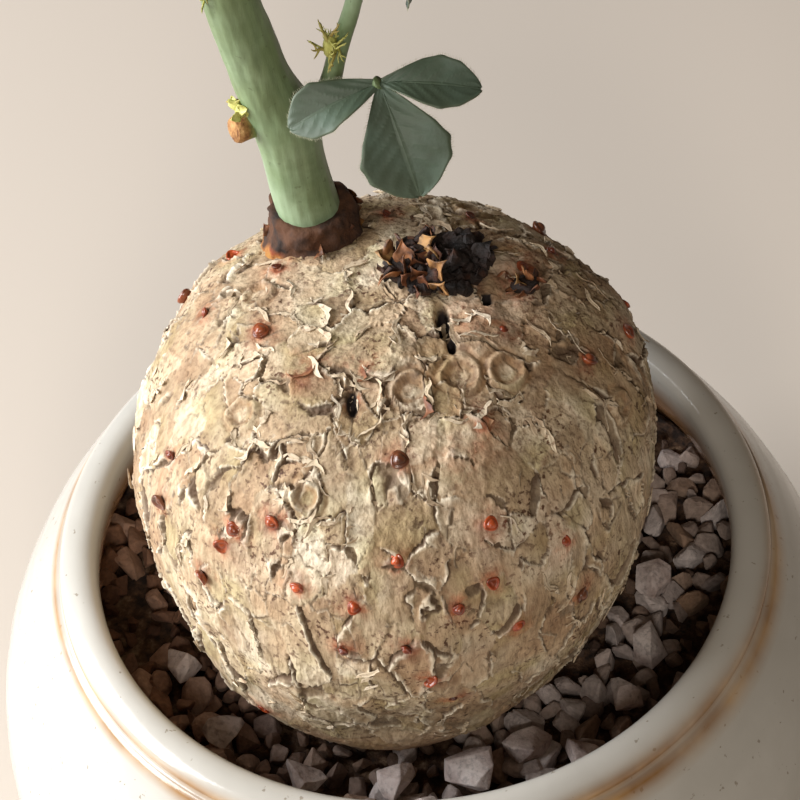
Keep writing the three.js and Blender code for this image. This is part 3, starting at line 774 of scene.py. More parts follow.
for name, values in layers.items():
    mark(caudex, name, np.append(values, [0.5, 0.5]))


def thinned(made, face_count):
    """Thins a mesh's flat parts to about the given number of triangles, keeping edges and attributes."""
    modifier = made.modifiers.new("thin", "DECIMATE")
    modifier.ratio = face_count / (2 * len(made.data.polygons))
    depsgraph = bpy.context.evaluated_depsgraph_get()
    mesh = bpy.data.meshes.new_from_object(made.evaluated_get(depsgraph), depsgraph=depsgraph)
    made.modifiers.clear()
    made.data = mesh


thinned(caudex, BARK_FACES)

bark = Finish("bark", roughness=0.82)
patchy = bark.noise(95, 6)
cream = bark.ramp(patchy, (0.3, linear(174, 154, 122)), (0.48, linear(204, 188, 158)),
                  (0.66, linear(222, 211, 188)))
browner = bark.ramp(bark.noise(210, 6), (0.3, linear(138, 110, 80)), (0.6, linear(182, 158, 126)))
plate_color = bark.mix(bark.ramp(bark.attribute("tone"), (0.3, 0.9), (0.7, 0.0)), cream, browner)
hue_shift = bark.ramp(bark.attribute("hue"), (0.15, linear(242, 243, 222)), (0.45, (1, 1, 1, 1)),
                      (0.8, linear(252, 240, 234)))
plate_color = bark.mix(0.8, plate_color, hue_shift, "MULTIPLY")
freckles = bark.ramp(bark.noise(1500, 4), (0.37, linear(112, 76, 50)), (0.46, (1, 1, 1, 1)))
freckled = bark.ramp(bark.noise(170, 4), (0.42, 0.1), (0.62, 0.95))
plate_color = bark.mix(freckled, plate_color, freckles, "MULTIPLY")
fibre_noise = bark.noise(1.0, 5, where=bark.stretched((1500, 1500, 330)))
plate_color = bark.mix(0.4, plate_color,
                       bark.ramp(fibre_noise, (0.36, linear(150, 126, 98)), (0.56, (1, 1, 1, 1))), "MULTIPLY")
# The lifted edges are mixed towards a pale cream: this is a painted highlight.
lit_edge = bark.mix(bark.ramp(bark.attribute("edge"), (0.3, 0.0), (0.8, 0.8)), plate_color,
                    linear(232, 221, 198))
lower = bark.mix(bark.ramp(bark.attribute("low"), (0.1, 0.0), (0.9, 0.62)), lit_edge,
                 bark.ramp(patchy, (0.35, linear(150, 106, 78)), (0.6, linear(196, 158, 124))))
rust_color = bark.ramp(bark.noise(420, 4), (0.35, linear(112, 44, 22)), (0.6, linear(178, 92, 48)))
rusted = bark.mix(bark.math("MULTIPLY", bark.attribute("rusty"),
                            bark.ramp(bark.noise(500, 4), (0.4, 0.2), (0.6, 1.0))), lower, rust_color)
under_color = bark.ramp(bark.noise(380, 5), (0.35, linear(84, 64, 46)), (0.6, linear(134, 114, 88)))
# Browned round the leaf scars, which is their real colour, and round the top of the caudex, which is painted
# shade.
shaded_and_scarred_bark = bark.mix(bark.ramp(bark.attribute("brown"), (0.1, 0.0), (0.9, 0.8)), rusted,
                        bark.ramp(bark.noise(600, 5), (0.35, linear(104, 72, 46)),
                                  (0.6, linear(168, 132, 94))))
opened = bark.mix(bark.ramp(bark.attribute("under"), (0.1, 0.0), (0.65, 0.92)), shaded_and_scarred_bark, under_color)
# The dark brown lines along the cracks are painted shadow.
opened = bark.mix(bark.ramp(bark.attribute("crack_groove_and_shadow"), (0.4, 0.0), (0.95, 0.75)), opened, linear(92, 68, 48))
black = bark.mix(bark.ramp(bark.attribute("dark"), (0.15, 0.0), (0.6, 1.0)), opened, linear(26, 15, 11))
bark.color(black)
bark.rough(bark.ramp(bark.noise(300, 4), (0.35, 0.7), (0.7, 0.92)))
bark.bump(bark.noise(900, 6), 0.0004, 0.6)
bark.bump(fibre_noise, 0.0004, 0.7)
caudex.data.materials.append(bark.material)
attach(caudex, "root")
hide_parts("caudex")


# ---- Bark flakes ------------------------------------------------------------------------------------
# Thin curls of the same papery bark that stand off the plates' edges, still held along one side.
# They follow the cracks, with the free side curled up over the gap.
FLAKE_COUNT = 420
FLAKE_SPACING = 1.3
flake_random = np.random.default_rng(23)


def closed_sheet(grid, thickness):
    """A grid of points, rows by columns, made into a thin closed sheet: its points and faces."""
    rows, columns = grid.shape[:2]
    along, across = np.gradient(grid, axis=0), np.gradient(grid, axis=1)
    normal = np.cross(along, across)
    normal /= np.linalg.norm(normal, axis=2, keepdims=True) + 1e-12
    half = np.broadcast_to(np.asarray(thickness, dtype=float), (rows, columns))[:, :, None] / 2
    points = np.vstack([(grid + normal * half).reshape(-1, 3), (grid - normal * half).reshape(-1, 3)])
    index = np.arange(rows * columns).reshape(rows, columns)
    quads = np.stack([index[:-1, :-1], index[1:, :-1], index[1:, 1:], index[:-1, 1:]], axis=-1).reshape(-1, 4)
    faces = [quads, quads[:, ::-1] + rows * columns]
    loop = np.concatenate([index[0, :-1], index[:-1, -1], index[-1, :0:-1], index[:0:-1, 0]])
    next_in_loop = np.roll(loop, -1)
    shift = rows * columns
    faces.append(np.stack([loop, next_in_loop, next_in_loop + shift, loop + shift], axis=-1))
    return points, np.vstack(faces)


def gathered(pieces):
    """Puts many point and face arrays together as one."""
    start = np.cumsum([0] + [len(points) for points, _ in pieces[:-1]])
    return np.vstack([points for points, _ in pieces]), np.vstack([faces + first for (_, faces),
                                                                   first in zip(pieces, start)])


def curl(root, across, outwards, long, wide, lift, roll):
    """One flake: held along a line at its root, its free side lifted and rolled back."""
    along = np.cross(outwards, across)
    v, u = np.meshgrid(np.linspace(-1, 1, 9), np.linspace(0, 1, 6), indexing="ij")
    ragged = 1 + 0.3 * np.sin(v * 5 + long * 9) + 0.2 * np.sin(v * 13 + wide * 21)
    reach = wide * u * np.clip(1 - np.abs(v) ** 4, 0.1, 1) * ragged
    rise = lift * (u ** 1.5) * np.clip(1 - 0.6 * v ** 2, 0.2, 1)
    back = roll * wide * np.clip(u - 0.55, 0, 1) ** 1.6
    wander = 0.12 * long * np.sin(2.6 * v + long * 5)
    grid = (root + across * wander[..., None] + along * (v * long / 2)[..., None] + across
            * (reach - back)[..., None] + outwards * (rise - 0.06)[..., None])
    return closed_sheet(grid, 0.09 - 0.05 * u)


across_all = to_neighbour / stretch
across_all -= outward * (across_all * outward).sum(axis=1, keepdims=True)
across_all /= np.linalg.norm(across_all, axis=1, keepdims=True) + 1e-9
upright = np.abs(across_all[:, 2]) < 0.2 + 0.6 * scattered(own, 13)
at_edge = upright & (edge_lift > 0.5) & leads & (np.abs(border - gap_width) < 0.3)
at_edge = at_edge & (calm > 0.9) & (near_bud < 0.1)
candidates = flake_random.permutation(np.nonzero(at_edge & (arc_all > 5) & (arc_all < 76))[0])
flakes, taken = [], np.full((FLAKE_COUNT, 3), 1e3)
for index in candidates:
    if len(flakes) == FLAKE_COUNT:
        break
    if np.linalg.norm(taken - bark_place[index], axis=1).min() < FLAKE_SPACING:
        continue
    taken[len(flakes)] = bark_place[index]
    long, wide = flake_random.uniform(1.2, 4.4), flake_random.uniform(0.35, 0.8)
    root = bark_place[index] - across_all[index] * 0.3
    flakes.append(curl(root, across_all[index], outward[index], long, wide, flake_random.uniform(0.05, 0.4),
                       flake_random.uniform(0.2, 1.3)))
flake_points, flake_faces = gathered(flakes)
bark_flakes = new_mesh("bark_flakes", flake_points * MM, flake_faces)

paper = Finish("bark_paper", roughness=0.75)
paper_color = paper.ramp(paper.noise(160, 5), (0.3, linear(168, 144, 116)), (0.5, linear(200, 182, 154)),
                         (0.68, linear(220, 206, 184)))
paper.color(paper.mix(0.6, paper_color,
                      paper.ramp(paper.noise(1500, 3), (0.35, linear(140, 104, 72)), (0.45, (1, 1, 1, 1))),
                      "MULTIPLY"))
paper.bump(paper.noise(1200, 4), 0.0002, 0.6)
bark_flakes.data.materials.append(paper.material)
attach(bark_flakes, "root")

# Three larger peels near the crown, redder than the rest.
PEELS = ((-64, 19.5, 4.2, 1.1, 0.6, 1.0), (-70, 21.5, 2.4, 0.8, 0.5, 1.2), (-144, 13.5, 4.2, 0.9, 0.5, 0.9),
         (-114, 10.5, 3.2, 0.8, 0.5, 0.7), (-82, 15.5, 3.0, 0.8, 0.5, 0.6), (10, 13, 2.8, 0.9, 0.6, 0.8))
peels = []
for peel_turn, peel_arc, long, wide, lift, roll in PEELS:
    middle, out = caudex_surface(np.radians(np.array([peel_turn])), np.array([peel_arc]))
    down = np.cross(np.array([-math.sin(math.radians(peel_turn)), math.cos(math.radians(peel_turn)), 0]),
                    out[0])
    slant = 0.5 * down + np.cross(out[0], down)
    peels.append(curl(middle[0] + 0.35 * out[0], slant / np.linalg.norm(slant), out[0], long, wide, lift,
                      roll))
peel_points, peel_faces = gathered(peels)
red_peels = new_mesh("red_peels", peel_points * MM, peel_faces)
red_paper = Finish("red_paper", roughness=0.6)
red_paper.color(red_paper.ramp(red_paper.noise(420, 5), (0.35, linear(84, 44, 28)),
                               (0.55, linear(140, 90, 58)), (0.7, linear(184, 144, 104))))
red_peels.data.materials.append(red_paper.material)
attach(red_peels, "root")


# ---- Buds on the caudex -----------------------------------------------------------------------------
# Small resting buds that break through the bark: glossy, orange-red to chestnut beads, 1 to 1.4 mm across.
# Each is a short bead with a pinched tip; a geometry tree stands one on every bud spot.
def turned_shape(name, outline, sides, wobble=0.0):
    """A solid turned about Z from an outline of radii and heights in millimetres, from axis to axis."""
    a = np.linspace(0, 2 * math.pi, sides, endpoint=False)
    middle = np.array(outline[1:-1], dtype=float)
    swell = 1 + wobble * np.sin(3 * a)[None] * np.linspace(0.3, 1, len(middle))[:, None]
    r = middle[:, :1] * swell
    rings = np.stack([r * np.cos(a), r * np.sin(a), np.repeat(middle[:, 1:], sides, axis=1)],
                     axis=-1).reshape(-1, 3)
    low, high = len(rings), len(rings) + 1
    points = np.vstack([rings, [0, 0, outline[0][1]], [0, 0, outline[-1][1]]])
    faces = ring_grid(sides, len(middle), closed_rows=False).tolist()
    for k in range(sides):
        faces.append((low, (k + 1) % sides, k))
        faces.append((high, (len(middle) - 1) * sides + k, (len(middle) - 1) * sides + (k + 1) % sides))
    return new_mesh(name, points * MM, faces)


def planted_tree(name, shapes, material):
    """Stands one of the shapes on each host point, along its "out" direction, spun and sized at random."""
    tree, start, end = geometry_tree(name, ("Smallest", "Float", 0.7), ("Largest", "Float", 1.2),
                                     ("Seed", "Int", 1))
    join = tree_node(tree, "GeometryNodeGeometryToInstance")
    for shape in shapes:
        info = tree_node(tree, "GeometryNodeObjectInfo", {"Object": shape})
        tree.links.new(info.outputs["Geometry"], join.inputs[0])
    out = tree_node(tree, "GeometryNodeInputNamedAttribute", {"Name": "out"}, data_type="FLOAT_VECTOR")
    aim = tree_node(tree, "FunctionNodeAlignRotationToVector", {"Vector": out.outputs[0]}, axis="Z")
    spin = tree_node(tree, "FunctionNodeRandomValue", {"Seed": start.outputs["Seed"]},
                     data_type="FLOAT_VECTOR")
    spin.inputs[1].default_value = (0, 0, 6.283)
    spun = tree_node(tree, "FunctionNodeRotateRotation",
                     {"Rotation": aim.outputs[0], "Rotate By": spin.outputs[0]},
                     rotation_space="LOCAL")
    size = tree_node(tree, "FunctionNodeRandomValue", {"Seed": start.outputs["Seed"]}, data_type="FLOAT")
    tree.links.new(start.outputs["Smallest"], size.inputs[2])
    tree.links.new(start.outputs["Largest"], size.inputs[3])
    pick = tree_node(tree, "FunctionNodeRandomValue", {"Seed": start.outputs["Seed"]}, data_type="INT")
    pick.inputs[4].default_value = 0
    pick.inputs[5].default_value = len(shapes) - 1
    place = tree_node(tree, "GeometryNodeInstanceOnPoints",
                      {"Points": start.outputs["Host"], "Instance": join.outputs[0], "Pick Instance": True,
                       "Instance Index": pick.outputs[2], "Rotation": spun.outputs[0],
                       "Scale": size.outputs[1]})
    tint = tree_node(tree, "FunctionNodeRandomValue", {"Seed": start.outputs["Seed"]}, data_type="FLOAT")
    tinted = tree_node(tree, "GeometryNodeStoreNamedAttribute",
                       {"Geometry": place.outputs["Instances"], "Name": "tint", "Value": tint.outputs[1]},
                       data_type="FLOAT", domain="INSTANCE")
    real = tree_node(tree, "GeometryNodeRealizeInstances", {"Geometry": tinted.outputs["Geometry"]})
    coated = tree_node(tree, "GeometryNodeSetMaterial",
                       {"Geometry": real.outputs["Geometry"], "Material": material})
    tree.links.new(coated.outputs["Geometry"], end.inputs["Made"])
    return tree


def planted(name, places_mm, outs, shapes, material, smallest, largest, seed):
    """Runs a planted tree on a list of places and directions and gives the finished mesh object."""
    host = new_mesh(name + "_spots", np.asarray(places_mm) * MM, [])
    direction = host.data.attributes.new("out", "FLOAT_VECTOR", "POINT")
    direction.data.foreach_set("vector", np.asarray(outs, dtype=np.float32).reshape(-1))
    return grown(host, planted_tree("plant_" + name, shapes, material), name, smallest=smallest,
                 largest=largest, seed=seed)


bud_skin = Finish("bud_beads", roughness=0.28, Coat_Weight=0.35)
bead_color = bud_skin.ramp(bud_skin.attribute("tint"), (0.0, linear(84, 40, 26)),
                           (0.35, linear(140, 60, 32)), (0.7, linear(190, 84, 40)),
                           (1.0, linear(112, 66, 42)))
bud_skin.color(bud_skin.mix(0.7, bead_color,
                            bud_skin.ramp(bud_skin.noise(900, 4), (0.35, linear(120, 90, 70)),
                                          (0.6, (1, 1, 1, 1))), "MULTIPLY"))
bud_skin.bump(bud_skin.noise(1500, 3), 0.00015, 0.5)
bead_shapes = [turned_shape("bead_round",
                            [(0, -0.5), (0.6, -0.4), (0.9, -0.05), (0.94, 0.14), (0.8, 0.26), (0.62, 0.2),
                             (0.56, 0.3), (0.5, 0.46), (0.34, 0.58), (0.14, 0.66), (0, 0.68)], 18, 0.16),
               turned_shape("bead_low", [(0, -0.5), (0.6, -0.4), (0.88, -0.1), (0.96, 0.1), (0.86, 0.24),
                                         (0.7, 0.2), (0.56, 0.06), (0.4, 0.02), (0.2, 0.14), (0, 0.2)], 18,
                                         0.2)]
beads = planted("bark_buds", bud_middles + bud_outward * 0.3,
                bud_outward + 0.3 * flake_random.normal(size=bud_outward.shape),
                bead_shapes, bud_skin.material, 0.6, 1.15, 3)
for shape in bead_shapes:
    bpy.data.objects.remove(shape)
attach(beads, "root")


# ---- Dead crown -------------------------------------------------------------------------------------
# The dried-out stub of the old growing point: a black crust, with crumpled rust-brown scale leaves round it.
# A few scales still carry a rust or straw colour, most look charred, and a smaller scab sits to the right.
crown_low, crown_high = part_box("dead_crown")
scab_low, scab_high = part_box("crown_scab")


def lumpy_ball(name, low, high, seed, rough, rings=40, sides=60):
    """A closed rough ball that fills a box; points pushed in and out by two sizes of noise."""
    middle, half = np.array((low + high) / 2) / MM, np.array((high - low) / 2) / MM
    outline = [(0, -1)] + [(math.sin(t), -math.cos(t))
                           for t in np.linspace(0.08, math.pi - 0.08, rings)] + [(0, 1)]
    ball = turned_shape(name, outline, sides)
    unit = np.array([vertex.co for vertex in ball.data.vertices]) / MM
    place = unit * half
    push = rough * lattice_noise(place, 0.45, seed) + 0.55 * rough * lattice_noise(place, 1.1, seed + 1)
    place = middle + place + unit * (push - 0.4 * rough)[:, None]
    ball.data.vertices.foreach_set("co", (place * MM).reshape(-1))
    ball.data.update()
    return ball, place, unit


char = Finish("charred", roughness=0.75)
char_color = char.ramp(char.noise(520, 6), (0.35, linear(16, 10, 8)), (0.56, linear(38, 22, 15)),
                       (0.74, linear(84, 48, 28)))
char.color(char_color)
char.bump(char.noise(1300, 5), 0.0005, 0.9)

crown_mound, mound_places, mound_unit = lumpy_ball("crown_mound", crown_low,
                                                   crown_high - Vector((0, 0, 1.4 * MM)), 101, 0.9)
crown_mound.data.materials.append(char.material)
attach(crown_mound, "root")
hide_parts("dead_crown")

scab, scab_places, scab_unit = lumpy_ball("scab_crust", scab_low, scab_high, 104, 0.5, 24, 40)
scab.data.materials.append(char.material)
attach(scab, "root")
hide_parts("crown_scab")


def scale_leaf(name, long, wide, cup, curl_out, seed):
    """A dry scale leaf standing on its base along Z: a pointed sheet, cupped and curling outwards."""
    u, v = np.meshgrid(np.linspace(0, 1, 10), np.linspace(-1, 1, 7), indexing="ij")
    spread = wide / 2 * (0.35 + 1.1
                         * np.sin(math.pi * np.clip(u, 0, 1) ** 0.9) ** 0.7) * np.clip(1.02 - u ** 5, 0.05, 1)
    ragged = 0.12 * np.sin(9 * u + seed) + 0.08 * np.sin(23 * u + 2 * seed)
    x = v * spread * (1 + ragged)
    y = cup * v ** 2 * wide - curl_out * u ** 2.2 * long + 0.06 * long * np.sin(6 * u + seed)
    z = long * (u - 0.15) * (1 - 0.25 * curl_out * u ** 2)
    points, faces = closed_sheet(np.stack([x, y, z], axis=-1), 0.16 - 0.1 * u)
    return new_mesh(name, points * MM, faces)


def pick_spots(places, unit, wanted, count, spacing, seed):
    """Chooses well-spaced points among the wanted ones of a rough ball, with directions that lean upwards."""
    order = np.random.default_rng(seed).permutation(np.nonzero(wanted)[0])
    chosen = []
    for index in order:
        if all(np.linalg.norm(places[index] - places[k]) > spacing for k in chosen):
            chosen.append(index)
        if len(chosen) == count:
            break
    scatter = np.random.default_rng(seed).normal(size=(len(chosen), 3))
    lean = unit[chosen] * np.array([1, 1, 0.6]) + np.array([0, 0, 0.7]) + 0.45 * scatter
    return places[chosen], lean / np.linalg.norm(lean, axis=1, keepdims=True)


rust_scale = Finish("rust_scales", roughness=0.6)
rust_tint = rust_scale.ramp(rust_scale.attribute("tint"), (0.0, linear(56, 32, 21)),
                            (0.35, linear(112, 66, 38)), (0.7, linear(158, 102, 58)),
                            (1.0, linear(186, 146, 92)))
rust_scale.color(rust_scale.mix(0.85, rust_tint,
                                rust_scale.ramp(rust_scale.noise(700, 5), (0.36, linear(70, 46, 34)),
                                                (0.6, (1, 1, 1, 1))), "MULTIPLY"))
rust_scale.bump(rust_scale.noise(1200, 4), 0.0002, 0.6)

scale_shapes = [scale_leaf(f"scale_{k}", 2.6 + 0.3 * k, 1.9 + 0.25 * (k % 2), 0.28, 0.3 + 0.12 * k, k)
                for k in range(4)]
upper = mound_unit[:, 2] > 0.12
left_part = upper & (mound_places[:, 0] < 6.2)
right_part = upper & (mound_places[:, 0] >= 5)
scale_spots = pick_spots(mound_places, mound_unit, left_part, 24, 1.1, 1)
rust_scales = planted("rust_scales", *scale_spots, scale_shapes, rust_scale.material, 0.4, 1.05, 6)
black_spots = pick_spots(mound_places, mound_unit, right_part, 12, 1.6, 2)
black_scales = planted("black_scales", *black_spots, scale_shapes, char.material, 0.35, 0.8, 9)
char_lumps = [crushed_stone(f"char_lump_{k}", 60 + k, np.array([0.9, 0.75, 0.65]) * MM, 12, 0.1 * MM)
              for k in range(4)]
lump_spots = pick_spots(mound_places, mound_unit, mound_unit[:, 2] > -0.2, 60, 0.85, 3)
char_crumbs = planted("char_crumbs", *lump_spots, char_lumps, char.material, 0.5, 1.7, 12)
scab_spots = pick_spots(scab_places, scab_unit, scab_unit[:, 2] > 0, 12, 0.9, 4)
scab_scales = planted("scab_scales", *scab_spots, scale_shapes, rust_scale.material, 0.35, 0.6, 15)
for shape in scale_shapes + char_lumps:
    bpy.data.objects.remove(shape)
for made in (rust_scales, black_scales, char_crumbs, scab_scales):
    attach(made, "root")


# ---- Stem collar ------------------------------------------------------------------------------------
# The corky ring where the green stem leaves the caudex: dark brown and cracked, with ochre patches low down.
# A few dry scales stand off it.
COLLAR_X, COLLAR_Y, COLLAR_Z = -8, 12.6, 126.5
collar_outline = [(0, 0), (3, 0.0), (5.9, 0.2), (6.3, 1.6), (6.2, 3.4), (5.8, 5.2), (5.5, 6.7),
                  (5.1, 7.9), (4.6, 8.7), (3.6, 8.5), (0, 8.4)]
collar_line = smooth_line(collar_outline, 44)
cork_ring = turned_shape("cork_ring", [tuple(point) for point in collar_line], 120)
ring_place = np.array([vertex.co for vertex in cork_ring.data.vertices]) / MM
ring_out = ring_place * np.array([1, 1, 0]) / (np.linalg.norm(ring_place[:, :2], axis=1)[:, None] + 1e-6)
ring_push = (0.65 * lattice_noise(ring_place, 0.5, 111) + 0.35 * lattice_noise(ring_place, 1.2, 112)
             - 0.3 * np.abs(lattice_noise(ring_place, 0.8, 113)))
ring_push *= np.clip(np.linalg.norm(ring_place[:, :2], axis=1) / 4, 0, 1)
ring_place = ring_place + ring_out * ring_push[:, None] + np.array([COLLAR_X, COLLAR_Y, COLLAR_Z])
ring_place[:, 2] += 0.4 * lattice_noise(ring_place, 0.35, 114)
cork_ring.data.vertices.foreach_set("co", (ring_place * MM).reshape(-1))
cork_ring.data.update()
ochre = np.clip((131.6 - ring_place[:, 2]) / 2.5 + 0.8 * lattice_noise(ring_place, 0.35, 115), 0, 1)
mark(cork_ring, "ochre", ochre)

cork = Finish("cork", roughness=0.85)
dark_cork = cork.ramp(cork.noise(420, 5), (0.35, linear(34, 20, 13)), (0.6, linear(82, 50, 28)))
ochre_cork = cork.ramp(cork.noise(260, 5), (0.35, linear(140, 66, 34)), (0.5, linear(168, 118, 56)),
                       (0.68, linear(196, 152, 78)))
cork.color(cork.mix(cork.ramp(cork.attribute("ochre"), (0.35, 0.0), (0.75, 0.9)), dark_cork, ochre_cork))
cork.bump(cork.noise(900, 5), 0.0004, 0.8)
cork_ring.data.materials.append(cork.material)
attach(cork_ring, "root")
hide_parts("stem_collar")

collar_shapes = [scale_leaf(f"collar_scale_{k}", 2.1, 1.7, 0.25, 0.35 + 0.2 * k, 5 + k) for k in range(3)]
collar_angles = np.arange(18) * 2.4
collar_radii, collar_heights = 5.0 + 0.7 * np.sin(collar_angles
                                                  * 3), 130.4 + 2.4 * np.sin(collar_angles * 1.7)
collar_spots = np.stack([COLLAR_X + collar_radii * np.cos(collar_angles),
                         COLLAR_Y + collar_radii * np.sin(collar_angles), collar_heights], axis=-1)
collar_outs = np.stack([0.7 * np.cos(collar_angles), 0.7 * np.sin(collar_angles), np.full(18, 0.75)], axis=-1)
collar_scales = planted("collar_scales", collar_spots, collar_outs, collar_shapes, rust_scale.material, 0.5,
                        0.95, 18)
for shape in collar_shapes:
    bpy.data.objects.remove(shape)
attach(collar_scales, "root")


# ---- Main stem and side shoot -----------------------------------------------------------------------
# A fleshy green stem under a pale waxy bloom, swollen at its node, with a thinner side shoot.
# Both have fine lengthwise striae, and the bloom is rubbed off in patches. The shoot springs from the node.
STEM_LINE = [(-8, 12.6, 127.9), (-8, 12.6, 132), (-9, 13, 139), (-9.5, 13, 145), (-10, 13, 149.5),
             (-11.5, 12.5, 155),
             (-12.6, 12, 161), (-14, 11, 170), (-15.4, 10.2, 180), (-16.4, 9.6, 190), (-16.8, 9.4, 196)]
SHOOT_LINE = [(-9.2, 12.8, 147.2), (-6, 12.4, 150.4), (-4.3, 12.1, 154.4), (-3.2, 12, 158.6),
              (-1.8, 12, 163), (-0.4, 12, 167.5),
              (1.2, 12, 173.5), (2.2, 12, 179), (2.6, 12, 184)]
NODE_AT = (149 - 127.5) / (196 - 127.5)


def limb(name, line, radius_at, rings, sides, rough, seed):
    """A tapered closed limb along a smooth line; radius_at gives its radius at a share of the way along."""
    path = smooth_line(line, rings)
    heading = np.gradient(path, axis=0)
    heading /= np.linalg.norm(heading, axis=1, keepdims=True)
    side = np.cross(heading[0], (0, 1, 0))
    sides_list = []
    for ahead in heading:
        side = side - ahead * (side @ ahead)
        side /= np.linalg.norm(side)
        sides_list.append(side.copy())
    across = np.array(sides_list)
    upward = np.cross(heading, across)
    share = np.linspace(0, 1, rings)
    around = np.linspace(0, 2 * math.pi, sides, endpoint=False)
    round_it = (across[:, None] * np.cos(around)[None, :, None]
                + upward[:, None] * np.sin(around)[None, :, None])
    radius = np.array([radius_at(t) for t in share])[:, None] * np.ones(sides)[None]
    place = path[:, None] + round_it * radius[..., None]
    flat = place.reshape(-1, 3)
    push = rough * (lattice_noise(flat * np.array([1, 1, 0.25]), 1.3, seed) + 0.6
                    * lattice_noise(flat, 0.35, seed + 1))
    striae = 0.35 * rough * np.sin(around * 19)[None] * np.ones(rings)[:, None]
    thin_share = np.minimum(1, radius.reshape(-1))[:, None]
    flat = flat + round_it.reshape(-1, 3) * (push + striae.reshape(-1))[:, None] * thin_share
    points = np.vstack([flat, path[0], path[-1]])
    faces = ring_grid(sides, rings, closed_rows=False).tolist()
    for k in range(sides):
        faces.append((len(flat), (k + 1) % sides, k))
        faces.append((len(flat) + 1, (rings - 1) * sides + k, (rings - 1) * sides + (k + 1) % sides))
    made = new_mesh(name, points * MM, faces)
    return made, np.append(np.repeat(share, sides), [0, 1])


def stem_radius(t):
    node_swell = 0.45 * math.exp(-((t - NODE_AT) / 0.05) ** 2)
    return (3.85 - 1.2 * t + node_swell) * math.sqrt(min(1, (1 - t) / 0.05 + 0.15))


def shoot_radius(t):
    return (0.8 + 1.1 * math.exp(-7 * t) + 0.3 * (1 - t)) * math.sqrt(min(1, (1 - t) / 0.04 + 0.3))


stem, stem_share = limb("green_stem", STEM_LINE, stem_radius, 220, 76, 0.07, 121)
shoot, shoot_share = limb("green_shoot", SHOOT_LINE, shoot_radius, 150, 36, 0.05, 131)
for made, share, youth in ((stem, stem_share, 0.75), (shoot, shoot_share, 0.35)):
    mark(made, "bloom", np.clip(1 - share * youth, 0, 1))

stem_skin = Finish("stem_skin", roughness=0.5)
streaks = stem_skin.noise(1.0, 4, where=stem_skin.stretched((900, 900, 110)))
green = stem_skin.ramp(streaks, (0.32, linear(86, 104, 62)), (0.52, linear(106, 124, 80)),
                       (0.72, linear(120, 140, 96)))
waxy = stem_skin.ramp(stem_skin.noise(170, 5), (0.38, linear(118, 140, 106)), (0.6, linear(146, 168, 136)))
bloomed = stem_skin.mix(stem_skin.math("MULTIPLY", stem_skin.attribute("bloom"),
                                       stem_skin.ramp(stem_skin.noise(120, 4), (0.38, 0.35), (0.6, 0.95))),
                                       green, waxy)
flecks = stem_skin.ramp(stem_skin.noise(1100, 2), (0.27, linear(150, 140, 100)), (0.33, (1, 1, 1, 1)))
stem_skin.color(stem_skin.mix(0.5, bloomed, flecks, "MULTIPLY"))
stem_skin.rough(stem_skin.ramp(streaks, (0.3, 0.42), (0.7, 0.6)))
stem_skin.bump(streaks, 0.00025, 0.45)
stem_skin.bump(stem_skin.noise(1400, 3), 0.00008, 0.4)
for made, node in ((stem, "main_stem"), (shoot, "side_shoot")):
    made.data.materials.append(stem_skin.material)
    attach(made, "root")
    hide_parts(node)


# ---- Cut petiole, axillary bud and stipules ---------------------------------------------------------
# At the node a lost leaf has left a stub with a dry tan face, and a green bud sits above it.
# The stipules are tufts of forked, yellow-green bristles, some of them browned; their brown tip glands are
# not built.
stub, stub_share = limb("petiole_stub",
                        [(-12.4, 12.5, 149.2), (-13.6, 12.0, 149.5), (-14.8, 11.4, 149.8),
                         (-15.7, 10.9, 150.0)],
                        lambda t: 1.28 + 0.3 * t - 0.25 * max(0.0, t - 0.85) / 0.15, 40, 48, 0.12, 141)
mark(stub, "cut", stub_share)
scar = Finish("petiole_scar", roughness=0.8)
tan_face = scar.ramp(scar.noise(900, 5), (0.35, linear(112, 68, 36)), (0.52, linear(168, 122, 72)),
                     (0.7, linear(196, 156, 100)))
scar.color(scar.mix(scar.ramp(scar.attribute("cut"), (0.45, 0.0), (0.7, 1.0)), linear(126, 142, 84),
                    tan_face))
scar.bump(scar.noise(1400, 5), 0.0004, 0.9)
stub.data.materials.append(scar.material)
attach(stub, "root")
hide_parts("cut_petiole")

young = Finish("young_skin", roughness=0.5)
young_color = young.ramp(young.noise(700, 4), (0.35, linear(150, 150, 66)), (0.6, linear(202, 200, 118)))
browned = young.ramp(young.attribute("tint"), (0.7, 0.0), (1.0, 0.7))
young.color(young.mix(browned, young_color, linear(128, 78, 40)))
young.bump(young.noise(1200, 3), 0.0001, 0.5)

bud_core, core_places, core_unit = lumpy_ball("axillary_core", *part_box("axillary_bud"), 151, 0.12, 20, 32)
bud_core.data.materials.append(young.material)
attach(bud_core, "root")
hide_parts("axillary_bud")
bud_scale_shapes = [scale_leaf(f"bud_scale_{k}", 1.9, 1.3, 0.3, -0.1 + 0.2 * k, 11 + k) for k in range(3)]
bud_scale_spots = pick_spots(core_places, core_unit, core_unit[:, 2] > -0.3, 9, 0.8, 5)
bud_scales = planted("axillary_scales", *bud_scale_spots, bud_scale_shapes, young.material, 0.55, 0.95, 21)
for shape in bud_scale_shapes:
    bpy.data.objects.remove(shape)
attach(bud_scales, "root")


